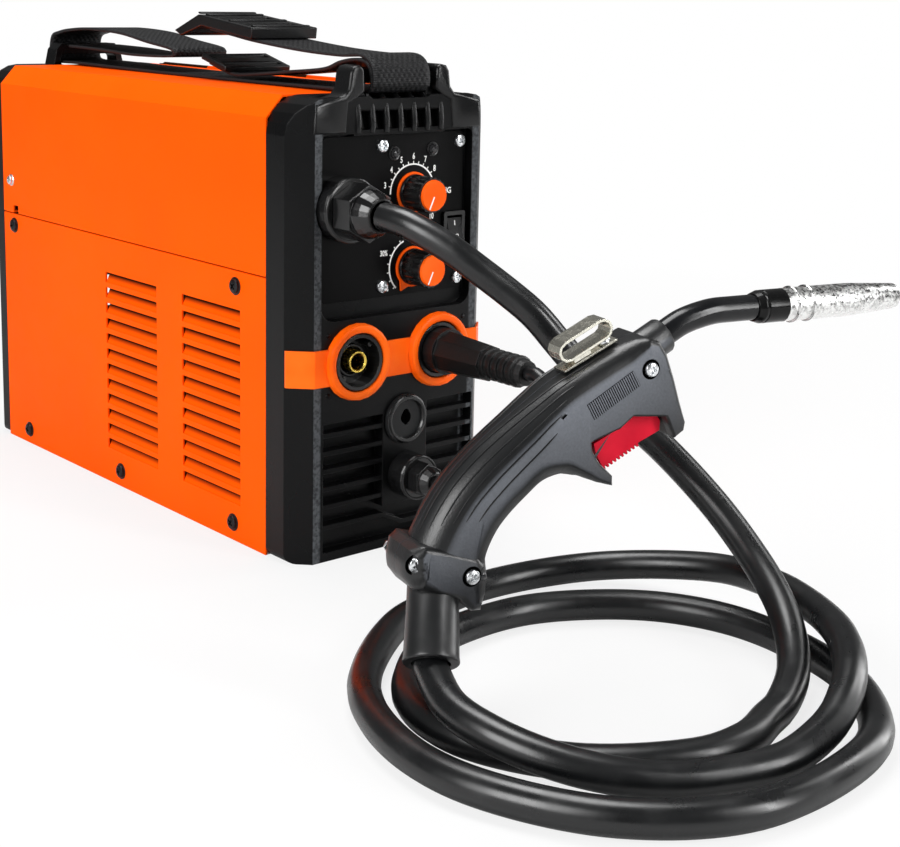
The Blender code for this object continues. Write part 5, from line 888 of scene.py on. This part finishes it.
def dial_scale():
    """White printed arcs, ticks and numbers round both knobs."""
    bm = arc_strip(UPPER_DIAL, 15.4, 0.85, -46, 181, PANEL)
    arc_strip(LOWER_DIAL, 15.4, 0.85, 112, 226, PANEL, bm)
    for angle in NUMBERED + BETWEEN:
        spoke(UPPER_DIAL, angle, 15.6, 17.1, 0.55, PANEL, bm=bm)
    for angle in range(120, 223, 17):
        spoke(LOWER_DIAL, angle, 15.6, 17, 0.55, PANEL, bm=bm)
    piece("dial_marks", bm, "print_white")
    for index, angle in enumerate(NUMBERED):
        print_at(f"dial_number_{index + 1}", str(index + 1), 3.3, UPPER_DIAL, angle, 19.6)
    print_at("dial_share_0", "0%", 3, LOWER_DIAL, 212, 20.8)
    print_at("dial_share_30", "30%", 3, LOWER_DIAL, 156, 21.2)
    lettering("mode_name", "MIG", 3.2, (36.4, 196.2), 0.95, 0.035)


def print_at(name, text, height, centre, angle, radius):
    turn = math.radians(angle)
    spot = (centre[0] + radius * math.cos(turn), centre[1] + radius * math.sin(turn))
    lettering(name, text, height, spot, 0.72, 0.03)


def knob_details(name, centre):
    """Orange foot ring with its pointer, the white line on the cap, and the dark skirt."""
    at = (centre[0], KNOB_BACK, centre[1])
    body = name + "_body"
    bm = turned([(10, 0), (11.3, 0), (11.3, 0.7), (10.8, 1.2), (10, 1.2), (10, 0)], at, steps=40)
    pointer = ON_FRONT @ Matrix.Rotation(math.radians(238), 4, "Z")
    slab([(10.4, -3.6), (15.2, 0), (10.4, 3.6)], at, pointer, 0, 1, bm)
    piece(name + "_foot_ring", bm, "cap_orange", body)
    front = Matrix.Translation((0, CAP_FRONT, 0)) @ ON_FRONT
    piece(name + "_line", spoke(centre, 245, 0.6, 8, 0.8, front, 0.08), "print_white", body)
    skirt = turned([(10.05, 0.6), (10.05, 2.6), (9.7, 3.2), (9.7, 0.6), (10.05, 0.6)], at, steps=48)
    piece(name + "_skirt", skirt, "knob_black", body)


def panel_screws():
    """Bright screws in the corners of the control plate."""
    places = [(x, ON_PLATE, z) for x, z in ((-9, 223), (45.3, 223.6), (-8, 146.7), (45, 147))]
    screws("panel_screws", places, FORWARD, 3.6, 2.1, "screw_steel")


def mode_rocker_marks():
    """White bar and ring on the two slopes of the mode rocker."""
    bar = [(-0.3, -1.4), (0.3, -1.4), (0.3, 1.4), (-0.3, 1.4)]
    for name, place, tilt in (
        ("mode_mark_on", (41.4, -168.2, 178.1), -8.7),
        ("mode_mark_off", (41.4, -170, 170.7), 18.4),
    ):
        turn = Matrix.Translation(place) @ Matrix.Rotation(math.radians(tilt), 4, "X") @ ON_FRONT
        if name == "mode_mark_on":
            bm = slab(bar, ORIGIN, turn, 0, INK)
        else:
            bm = arc_strip((0, 0), 1.35, 0.45, 0, 360, turn)
        piece(name, bm, "print_white", "mode_rocker_body")


# ---------------------------------------------------------------- front end

SOCKETS = ((-28, 108.5), (28, 108.5))
TORCH_GLAND = ((-37, 191.5),)
LEAD_GLAND = ((7, 40.5),)

# Turned trims that face forward: finish, then rings of steps, y, places (x, z) and profile
TRIMS = {
    "lamp_collars": ("knob_black", (
        28, ON_PLATE, ((-0.6, 218.7), (26, 219.8)),
        ((2.9, 0), (3.9, 0), (3.9, 0.5), (3.5, 0.8), (2.9, 0.6), (2.9, 0)),
    )),
    # painted shade: a dark disc deep inside the open socket
    "socket_shade": ("hollow_dark", (
        24, -160.6, SOCKETS[:1], ((0, 0), (4.3, 0), (4.3, 0.6), (0, 0.6)),
    )),
    "brass_contact": ("machined_brass", (
        56, -154, SOCKETS[:1],
        ((0, 0), (4.5, 2), (4.5, 17.4), (5, 18), (5.7, 18), (6.1, 17.4), (6.1, 0), (0, 0)),
    )),
    "ring_beads": ("orange_trim", (
        48, -173.95, SOCKETS,
        ((16.3, 0), (20.4, 0), (20.2, 0.35), (19.4, 0.75), (17.4, 0.75), (16.5, 0.4), (16.3, 0)),
    )),
    "gland_lips": ("gland_nylon", (
        48, -176.7, TORCH_GLAND,
        ((16.2, 0), (17.2, 0.3), (17.4, 0.9), (16.9, 1.5), (15.6, 1.7), (15.4, 0.8), (16.2, 0)),
    ), (
        36, -182.2, LEAD_GLAND, ((11.3, 0), (12.4, 0.3), (12.6, 1), (12, 1.6), (11.2, 1.4), (11.3, 0)),
    )),
    "gland_seal": ("plug_rubber", (
        36, -201.6, TORCH_GLAND, ((7.65, 0), (8.9, 0), (8.9, 1.1), (8.3, 1.5), (7.65, 1.3), (7.65, 0)),
    )),
    "moulding_marks": ("case_plastic", (
        16, FRONT_FACE - 0.02, ((-46.5, 92), (47, 92), (-46.5, 124.8), (47, 124.8)),
        ((0, 0), (1.5, 0), (1.3, 0.12), (0, 0.12)),
    )),
    "cover_ring": ("knob_black", (
        48, -172.4, ((6, 72),),
        ((10.6, 0), (13.6, 0), (13.8, 0.3), (13.2, 1), (12.2, 1.3), (11.2, 1), (10.6, 0)),
    )),
}


def forward_rings(rings):
    bm = None
    for steps, y, places, profile in rings:
        for x, z in places:
            bm = turned(profile, (x, y, z), FORWARD, steps, bm)
    return bm


def front_trims():
    """Collars, beads, lips and the open socket's brass contact."""
    trims = {name: piece(name, forward_rings(rings), finish) for name, (finish, *rings) in TRIMS.items()}
    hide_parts("left_socket_contact")


def socket_collars():
    """Inner collar of both sockets, and the key ridges of the open one."""
    profile = ((7.4, 0), (9.2, 0), (9.2, 2.6), (8.7, 3.1), (7.8, 3.1), (7.4, 2.6), (7.4, 0))
    bm = forward_rings([(32, -163.5, SOCKETS, profile)])
    for angle in (225, 45):
        turn = math.radians(angle)
        x, z = SOCKETS[0]
        ridge_at = (x + 12.3 * math.cos(turn), -163.6, z + 12.3 * math.sin(turn))
        slab(circle(1.6, 10), ridge_at, ON_FRONT, 0, 7.5, bm, 0.4)
    piece("socket_collars", bm, "socket_plastic")


def cover_hole_shade():
    """Painted shade: dark discs that stand for the unlit depth behind the keyed hole of the blank cover."""
    disc = ((0, 0), (10.6, 0), (10.6, 0.16), (0, 0.16), (0, 0))
    bm = forward_rings([(24, -170.25, ((6, 72),), disc)])
    slab(circle(3.5, 24), (6, -171.36, 72.6), ON_FRONT, 0, 0.1, bm)
    piece("cover_hole_shade", bm, "hollow_dark")


def rail(points, radius, sides, bm):
    """Round bar along a route, its ends closed."""
    part = bmesh.new()
    turns = [math.tau * step / sides for step in range(sides)]
    rings = []
    for index, point in enumerate(points):
        run = (points[min(index + 1, len(points) - 1)] - points[max(index - 1, 0)]).normalized()
        wide = Vector((1, 0, 0)) if abs(run.x) < 0.9 else Vector((0, 1, 0))
        over = run.cross(wide).normalized() * radius
        wide = over.cross(run)
        spots = [point + wide * math.cos(turn) + over * math.sin(turn) for turn in turns]
        rings.append([part.verts.new(spot) for spot in spots])
    tube(part, rings)
    bmesh.ops.recalc_face_normals(part, faces=part.faces)
    return joined(bm, part)


# A fin's side view, y and z; and the outline of one strap ear, x and z
FIN = ((-169.9, 231), (-170.3, 234), (-169.9, 240), (-168.4, 246), (-165.2, 249.6), (-158, 250.2))
STRAP_EAR = (
    (57, 231), (56, 246.5), (46, 248.6), (37.5, 250.6), (34.6, 254), (33.4, 262.4), (31.4, 265.4),
    (27.4, 266.2), (24.8, 264), (24.2, 252.6), (28.8, 249.4), (34.6, 246.8), (36, 231),
)


def front_brow():
    """Rounded fins between the slots of the brow, and the flared feet of the strap bar."""
    bm = None
    for index in range(7):
        x = -28.2 + index * 9.4
        bm = rail(smooth_route([(x, y, z) for y, z in FIN], 1), 1.7, 10, bm)
    piece("moulding_fins", bm, "frame_gloss")
    bm = None
    for side in (-1, 1):
        shape = [(side * x, z) for x, z in STRAP_EAR]
        bm = slab(shape, (0, -157.5, 0), ON_FRONT, 0, 13.4, bm, 1.5, 3)
    piece("strap_ears", bm, "frame_gloss", smooth=50)


# ---------------------------------------------------------------- case sides

SIDE_SCREWS = ((151.9, 145.9), (-113.1, 145), (137, 9.5), (14.9, 9.8), (-110.1, 10.4))
LID_SCREW = (154.6, 175.7)


def side_screws():
    """Blackened screws with washers down both sides, and the lid's own screw."""
    for side, name in ((-1, "left"), (1, "right")):
        out = (side, 0, 0)
        places = [(side * (HALF + 0.35), y, z) for y, z in SIDE_SCREWS]
        screws(name + "_side_screws", places, out, 4.1, 1.9, "blackened_screw")
        bm = None
        for y, z in SIDE_SCREWS:
            profile = [(0, 0), (5, 0), (5, 0.35), (4.7, 0.5), (0, 0.5)]
            bm = turned(profile, (side * (HALF + 0.03), y, z), out, 28, bm)
        piece(name + "_washers", bm, "blackened_screw")
    screws("lid_screw", [(-HALF - 0.9, *LID_SCREW)], (-1, 0, 0), 2.9, 1.7, "screw_steel", "lid_body")
    washer = [(0, 0), (3.9, 0), (3.9, 0.5), (3.5, 0.85), (0, 0.85)]
    bm = turned(washer, (-HALF - 0.03, *LID_SCREW), (-1, 0, 0), 24)
    shank = [(0, 0), (2, 0), (2, 12), (0, 12)]
    turned(shank, (-HALF - 0.1, *LID_SCREW), (1, 0, 0), 16, bm)
    piece("lid_screw_shank", bm, "screw_steel", "lid_body")


# ---------------------------------------------------------------- torch grip

# Side outline of the grip: along, up, and the radius of its rounded edge
GRIP_BACK = (
    (-13.5, 74.5, 14), (-12, 79, 14), (-5.8, 90.8, 14), (2, 101.8, 14), (11.6, 111.5, 14),
    (21.3, 119.3, 13.5), (32.6, 127.4, 12.5), (43, 134.6, 11), (53.6, 141.4, 10), (71.3, 150, 9.5),
    (83, 155.2, 9), (90, 157.9, 6.5),
)
GRIP_FRONT = (
    (94.5, 158.6, 3.5), (99.5, 156.8, 2.5), (103.4, 151.5, 2.5), (108, 139.5, 2.5), (111.6, 128.5, 2.5),
)
GRIP_LIP = (
    (114.6, 119.4, 1.6), (113.8, 115.6, 1.2), (109, 112.6, 1.2), (106.8, 117.2, 1.2), (104.2, 122.8, 1.2),
)
GRIP_UNDER = (
    (87, 124.4, 1.5), (80.6, 119.6, 1.5), (66, 115, 1.2), (66.8, 111, 1.2), (70.6, 105.4, 1.5),
)
GRIP_GUARD = (
    (77.2, 99, 1.2), (77.4, 94.4, 1.2), (70.2, 96.4, 2.5), (61.5, 99.8, 5), (54.6, 100.6, 9),
)
GRIP_INNER = (
    (47, 97.2, 14), (39.6, 91.8, 14), (30.8, 84.2, 14), (24.6, 76.6, 14), (19.6, 67, 12), (17.6, 60, 4),
)
GRIP_FOOT = ((4, 57, 2), (-10, 62, 2), (-13.4, 68, 6))
GRIP_OUTLINE = GRIP_BACK + GRIP_FRONT + GRIP_LIP + GRIP_UNDER + GRIP_GUARD + GRIP_INNER + GRIP_FOOT
GRIP_POCKET = (
    (62, 96), (69.2, 108.4), (67.6, 115.6), (80.2, 121.6), (87, 126.6), (108, 127.6), (108.4, 111),
    (100, 96),
)
FOOT_BAND = (
    (-6, 76.4, 2), (3, 73.4, 2), (12, 70.6, 2.5), (16.6, 67.4, 6), (18.8, 60.5, 9), (18, 52, 8),
    (14.6, 46.2, 5), (9.6, 47, 3), (4, 53, 3), (-6, 56.4, 3), (-15.5, 58.6, 7), (-19.8, 64, 9),
    (-20.4, 71, 9), (-18, 76.6, 6), (-13, 78.6, 2.5),
)
# Along, across and up
GRIP_SCREWS = ((-16.6, -12.4, 71), (8.6, -15.6, 63.2), (94.6, -15.15, 145.2))
GRIP_SIDES = ((-1, "left", "near"), (1, "right", "far"))
POCKET_HALF = 9.4
PARTING = 0.15


def closed_route(stations, step=1.6):
    """Even points round a closed outline; short sharp stretches keep their corners."""
    dense = []
    count = len(stations)
    for index in range(count):
        before, first, second, after = (Vector(stations[(index + shift) % count]) for shift in (-1, 0, 1, 2))
        pieces = max(1, round((second - first).to_2d().length / step))
        soft = min(first.z, second.z) > 7.5
        for part in range(pieces):
            t = part / pieces
            spot = first.lerp(second, t)
            if soft:
                leaving = (first * 2 - before - second) * (t * (1 - t) ** 2)
                arriving = (second * 2 - after - first) * (t * t * (1 - t))
                spot += (leaving + arriving) * 0.5
            dense.append(spot)
    return dense


def inward(points):
    """Unit steps toward the inside of a closed outline that runs clockwise."""
    steps = []
    for index in range(len(points)):
        run = (points[(index + 1) % len(points)] - points[index - 1]).to_2d().normalized()
        steps.append(Vector((run.y, -run.x)))
    return steps


def drawn_in(radius, level, half):
    """How far an edge of this radius has drawn in at a height above the middle."""
    over = max(0, level - (half - radius))
    return radius - math.sqrt(max(0, radius * radius - over * over))


def rounded_half(stations, half, side, layers=11):
    """Half of a body whose side edges are rounded by a radius that varies."""
    points = closed_route(stations)
    steps = inward(points)
    bm = bmesh.new()
    rings = []
    for layer in range(layers + 1):
        level = max(PARTING, half * math.sin(math.pi / 2 * layer / layers))
        ring = []
        for point, inner in zip(points, steps):
            draw = drawn_in(point.z, level, half)
            ring.append(bm.verts.new((point.x + inner.x * draw, side * level, point.y + inner.y * draw)))
        rings.append(ring)
    bmesh.ops.triangulate(bm, faces=tube(bm, rings), ngon_method="EAR_CLIP")
    bmesh.ops.recalc_face_normals(bm, faces=bm.faces)
    return bm


def upright_slab(outline, turn, low, high):
    part = slab(outline, ORIGIN, turn, low, high)
    bmesh.ops.recalc_face_normals(part, faces=part.faces)
    return part


def grip_halves():
    """The two halves of the torch grip, with the slot that the trigger swings in."""
    for side, name, near in GRIP_SIDES:
        knife = upright_slab(GRIP_POCKET, ON_GRIP, -POCKET_HALF, POCKET_HALF)
        half = carved(rounded_half(GRIP_OUTLINE, GRIP_SIDE, side), knife)
        made = torch_piece(f"grip_shell_{name}", half, "grip_plastic", smooth=42)
        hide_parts(f"torch_grip_{name}")
        band = rounded_half(FOOT_BAND, GRIP_SIDE + 0.5, side, 8)
        torch_piece(f"grip_band_{name}", band, "grip_plastic", smooth=42)


def grip_grooves():
    """Fine raised lines along the back of the grip, laid on its rounding."""
    back = closed_route(GRIP_OUTLINE)
    steps = inward(back)
    for side, name, near in GRIP_SIDES:
        bm = bmesh.new()
        for row, angle in enumerate((8, 26, 44, 62, 80, 98)):
            line = []
            span = slice(5 + row * 2, 72 - row * 4)
            for point, inner in zip(back[span], steps[span]):
                turn = math.radians(min(angle, 90))
                draw = point.z * (1 - math.cos(turn)) + max(0, angle - 90) * 0.35
                level = GRIP_SIDE - point.z + point.z * math.sin(turn)
                line.append(Vector((point.x + inner.x * draw, side * level, point.y + inner.y * draw)))
            ridge(line, 0.4, bm)
        torch_piece(f"grip_lines_{near}", bm, "grip_plastic")


PATCH_START = Vector((64.6, 128.8))
PATCH_ALONG = Vector((23, 13.2)).normalized()
PATCH_ACROSS = Vector((-PATCH_ALONG.y, PATCH_ALONG.x))
PATCH_LONG = 26.4
PATCH_RIBS = 24


def patch_strip(first, last, half):
    """Corners of a strip across the ribbed patch, between two distances along it."""
    corners = ((first, -half), (first, half), (last, half), (last, -half))
    return [tuple(PATCH_START + PATCH_ALONG * along + PATCH_ACROSS * across) for along, across in corners]


def grip_patch():
    """Panel of fine ribs above the trigger, on both faces, on a dark sheet of painted shade between the
    ribs.
    """
    pitch = PATCH_LONG / PATCH_RIBS
    for side, name, near in GRIP_SIDES:
        face = side * GRIP_SIDE
        outline = patch_strip(0, PATCH_LONG, 4.1)
        # painted shade: a dark sheet under the ribs, for the shade between them
        panel = slab(outline, ORIGIN, ON_GRIP, face + side * 0.02, face + side * INK)
        torch_piece(f"grip_rib_shade_{near}", panel, "hollow_dark")
        bm = None
        for index in range(PATCH_RIBS):
            middle = (index + 0.5) * pitch
            rib = patch_strip(middle - pitch * 0.28, middle + pitch * 0.28, 4)
            bm = slab(rib, ORIGIN, ON_GRIP, face, face + side * 0.4, bm)
        torch_piece(f"grip_ribs_{near}", bm, "grip_plastic")


def grip_screws():
    """Bright screws over thin dark discs of painted shade for the holes they sit in, and the nuts on the far
    side.
    """
    pocket_shades = nuts = None
    rim = [(0, 0), (4.5, 0), (4.5, 0.25), (3.6, 0.3), (0, 0.3)]
    for s, t, z in GRIP_SCREWS:
        # painted shade: a thin dark disc round each screw head
        pocket_shades = turned(rim, (s, t + 0.3, z), FORWARD, 24, pocket_shades)
        nuts = slab(circle(2.9, 6), (s, -t + 0.1, z), ON_REAR, 0, 1.4, nuts, 0.3)
    torch_piece("grip_pocket_shades", pocket_shades, "hollow_dark")
    places = [(s, t - 0.1, z) for s, t, z in GRIP_SCREWS]
    screws("grip_screws", places, FORWARD, 3.3, 1.7, "screw_steel", at=TORCH)
    torch_piece("grip_nuts", nuts, "screw_steel")


TRIGGER_ROOT = Vector((75.6, 101.4))
TRIGGER_TIP = Vector((94.2, 110.9))
TRIGGER_TEETH = 10
TRIGGER_REST = (
    (94.2, 110.9), (104.6, 115.2), (104.8, 119.6), (101.8, 123.6), (90.2, 123.4), (84, 118.4), (70.6, 112.6),
    (71.6, 108.6),
)


def red_trigger():
    """The ribbed trigger, in the slot between the grip's side walls."""
    tooth = (TRIGGER_TIP - TRIGGER_ROOT) / TRIGGER_TEETH
    down = Vector((tooth.y, -tooth.x)).normalized()
    outline = []
    for index in range(TRIGGER_TEETH):
        for reach, sink in ((0, 0), (0.12, 1.5), (0.52, 1.5), (0.64, 0)):
            outline.append(tuple(TRIGGER_ROOT + tooth * (index + reach) + down * sink))
    bm = upright_slab([*outline, *TRIGGER_REST], ON_FRONT, -8.8, 8.8)
    made = torch_piece("ribbed_trigger", bm, "trigger_red", "torch_trigger_body", 25)
    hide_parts("torch_trigger")


def hook_foot():
    """Strap under the hanging hook, held to the grip's back by a screw."""
    rise = Vector((0.905, 0.425))
    up = Vector((-rise.y, rise.x))
    start = Vector((57.5, 144.4))
    corners = [start, start + rise * 29, start + rise * 29 + up * 1.1, start + up * 1.1]
    bm = slab([tuple(corner) for corner in corners], ORIGIN, ON_FRONT, -4.5, 4.5)
    post = start + rise * 7.5 + up * 1.1
    corners = ((-1.2, -0.4), (7, 3.4), (6.2, 5.4), (-2, 1.6))
    slab([(post.x + x, post.y + y) for x, y in corners], ORIGIN, ON_FRONT, -4, 4, bm)
    torch_piece("hook_strap", bm, "hook_steel")
    spot = start + rise * 24.5 + up * 1.2
    screws("hook_screw", [(spot.x, 0, spot.y)], (up.x, 0, up.y), 3.2, 1.8, "screw_steel", at=TORCH)


# ---------------------------------------------------------------- torch neck

NECK_ROUTE = (
    (97.5, 0, 149.9), (110.7, 0, 156.9), (121.1, 0, 162), (135.3, 0, 165.2), (148, 0, 165.6),
    (166, 0, 165.6),
)
NECK = 12
NECK_LEVEL = 165.6
COLLAR = ((6.6, 0), (8.3, 0), (8.3, 11.6), (7.7, 12.6), (6.6, 12.6), (6.6, 0))
INSULATOR = (
    (6, 0), (6.6, 0), (7.5, 2.6), (7.7, 3.2), (7.7, 4), (7.45, 4.4), (7.45, 4.9), (7.75, 5.3), (7.75, 16.2),
    (6, 16.2), (6, 0),
)
BARREL = (
    (6.5, 0), (7.8, 0), (7.8, 38), (7.6, 42), (6.1, 65.8), (5.9, 66.6), (5, 66.6), (6.4, 42), (6.5, 0),
)
SPRING = ((7.7, 0), (8.4, 0.1), (8.65, 0.5), (8.4, 0.9), (7.7, 1), (7.7, 0))


def cable_sleeve():
    """Smooth rubber sleeve that the cable leaves the grip through."""
    mouth = Vector(SLEEVE_MOUTH)
    run = Vector(SLEEVE_TOP) - mouth
    top = run.length + 6
    profile = [
        (8.4, 0), (11.6, 0), (12.1, 0.5), (12.2, 1.4), (11.9, 3), (11.3, run.length * 0.6), (11.2, top),
        (8.4, top), (8.4, 0),
    ]
    made = torch_piece("cable_sleeve", turned(profile, mouth, run, 48), "sleeve_rubber")
    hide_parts("torch_sleeve")


def neck_and_nozzle():
    """Bent neck with its collar, insulator, gas nozzle and the spring rings round it."""
    axis = Vector((13.2, 0, 7)).normalized()
    torch_piece("neck_collar", turned(COLLAR, Vector(NECK_ROUTE[0]) + axis * 2, axis, 36), "grip_plastic")
    points = [TORCH @ point for point in smooth_route(NECK_ROUTE, 2)]
    made = round_cord("neck_tube", points, NECK, "neck_coat")
    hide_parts("torch_neck")
    along = (1, 0, 0)
    sleeve = turned(INSULATOR, (158.6, 0, NECK_LEVEL), along, 48)
    made = torch_piece("insulator_sleeve", sleeve, "insulator_black")
    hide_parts("torch_insulator")
    made = torch_piece("gas_nozzle", turned(BARREL, (174.9, 0, NECK_LEVEL), along, 56), "nozzle_steel")
    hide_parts("torch_nozzle")
    bm = turned(SPRING, (179.4, 0, NECK_LEVEL), along, 48)
    turned(SPRING, (188.2, 0, NECK_LEVEL), along, 48, bm)
    torch_piece("nozzle_springs", bm, "spring_steel")


# ---------------------------------------------------------------- carry strap

FRONT_BAR = -155.2
REAR_BAR = 177.6
STRAP_WIDE = 38
STRAP_THICK = 1.7
WEAVE_PITCH = 2.4
STRAP_COLUMNS = 8
STRAP_ROUTE = (
    (-12, 259.9), (-26, 256.5), (-39, 254.3), (-60, 255.6), (-92, 258.6), (FRONT_BAR + 29, 262),
    (FRONT_BAR + 14, 266.4), (FRONT_BAR, 268.4), (FRONT_BAR - 10, 266.4), (FRONT_BAR - 13.2, 259),
    (FRONT_BAR - 12.4, 253), (FRONT_BAR - 4, 251.5), (FRONT_BAR + 12, 251.7), (FRONT_BAR + 30, 251.8),
    (-60, 251.2), (0, 251.2), (60, 251.2), (REAR_BAR - 30, 251.8), (REAR_BAR - 12, 251.7),
    (REAR_BAR + 4, 251.5), (REAR_BAR + 12.4, 253), (REAR_BAR + 13.2, 259), (REAR_BAR + 10, 268.4),
    (REAR_BAR, 271.4), (REAR_BAR - 16, 273.6), (134, 275), (94, 273.5), (62, 269.5), (34, 266.4),
    (29, 263.8), (35, 261.6), (79, 260.6), (122, 262), (REAR_BAR - 14, 262.6),
)
UPPER_ROUTE = (
    (-12, 279.93), (-36, 277.21), (-60, 274.49), (-104, 271.2), (FRONT_BAR + 14, 270),
    (FRONT_BAR + 2, 270.9), (FRONT_BAR - 7, 270.2), (FRONT_BAR - 13, 266.6), (FRONT_BAR - 15.4, 260),
    (FRONT_BAR - 15.2, 254.4),
)


def webbing(name, stations, node):
    """A run of webbing: one woven strip laid along its route."""
    route = smooth_route([(0, y, z) for y, z in stations], WEAVE_PITCH)
    travel = travelled(route)
    bm = bmesh.new()
    map_layer = bm.loops.layers.uv.new("weave")
    left = -STRAP_WIDE / 2
    rows = []
    for column in range(STRAP_COLUMNS + 1):
        x = left + STRAP_WIDE * column / STRAP_COLUMNS
        rows.append([bm.verts.new((x, point.y, point.z)) for point in route])
    for column in range(STRAP_COLUMNS):
        for index in range(len(route) - 1):
            corners = ((column, index), (column, index + 1), (column + 1, index + 1), (column + 1, index))
            face = bm.faces.new([rows[across][along] for across, along in corners])
            for loop, (across, along) in zip(face.loops, corners):
                loop[map_layer].uv = (across / STRAP_COLUMNS, travel[along] / WEAVE_PITCH)
    made = piece(name, bm, "webbing_weave", smooth=80)
    solid = made.modifiers.new("thickness", "SOLIDIFY")
    solid.thickness = STRAP_THICK * MM
    solid.offset = 0
    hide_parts(node)


# Slide buckles in the upright plane along the strap: outline, then the slots for the webbing
BUCKLES = {
    "rear_strap_buckle": (
        ((-62, 275.5), (-9, 281.5), (14, 275), (21, 278), (-6, 288), (-63, 282)),
        ((-54, -40), (-30, -14), (0, 10)),
    ),
    "front_strap_buckle": (
        ((-35, 255.6), (-9, 262), (-9.6, 265), (-35.6, 258.6)),
        ((-32, -26), (-18, -12)),
    ),
}
BUCKLE_HALF = 23
SLOT_HALF = 19.8


def strap_buckles():
    """Plastic slides with soft edges, and the raised grips on the large one."""
    for node, (outline, slots) in BUCKLES.items():
        plate = upright_slab(outline, ON_RIGHT, -BUCKLE_HALF, BUCKLE_HALF)
        knife = None
        for near, far in slots:
            hole = ((near, 245), (far, 245), (far, 295), (near, 295))
            knife = slab(hole, ORIGIN, ON_RIGHT, -SLOT_HALF, SLOT_HALF, knife)
        bmesh.ops.recalc_face_normals(knife, faces=knife.faces)
        made = piece(node.replace("strap_buckle", "slide"), carved(plate, knife), "buckle_plastic")
        edge = made.modifiers.new("soft_edges", "BEVEL")
        edge.width = 0.6 * MM
        edge.segments = 2
        edge.angle_limit = math.radians(40)
        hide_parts(node)
    slope = math.radians(6.6)
    bm = None
    for offset in (-58.5, -35, -10.5, -2.5):
        grip = box((-20, -1.4, 0), (20, 1.4, 1.2), 0.5)
        at = (0, offset, 282.25 + (offset + 58.5) * math.tan(slope) * 0.93)
        bm = placed(grip, at, Matrix.Rotation(slope, 4, "X"), bm)
    piece("rear_slide_grips", bm, "buckle_plastic")


def main():
    set_camera()
    studio()
    dress_nodes()
    torch_cable()
    polarity_lead()
    dial_scale()
    knob_details("upper_knob", UPPER_DIAL)
    knob_details("lower_knob", LOWER_DIAL)
    panel_screws()
    mode_rocker_marks()
    socket_collars()
    front_trims()
    cover_hole_shade()
    front_brow()
    side_screws()
    grip_halves()
    grip_grooves()
    grip_patch()
    grip_screws()
    red_trigger()
    hook_foot()
    cable_sleeve()
    neck_and_nozzle()
    webbing("carry_webbing", STRAP_ROUTE, "carry_strap")
    webbing("carry_webbing_upper", UPPER_ROUTE, "carry_strap_upper")
    strap_buckles()


main()
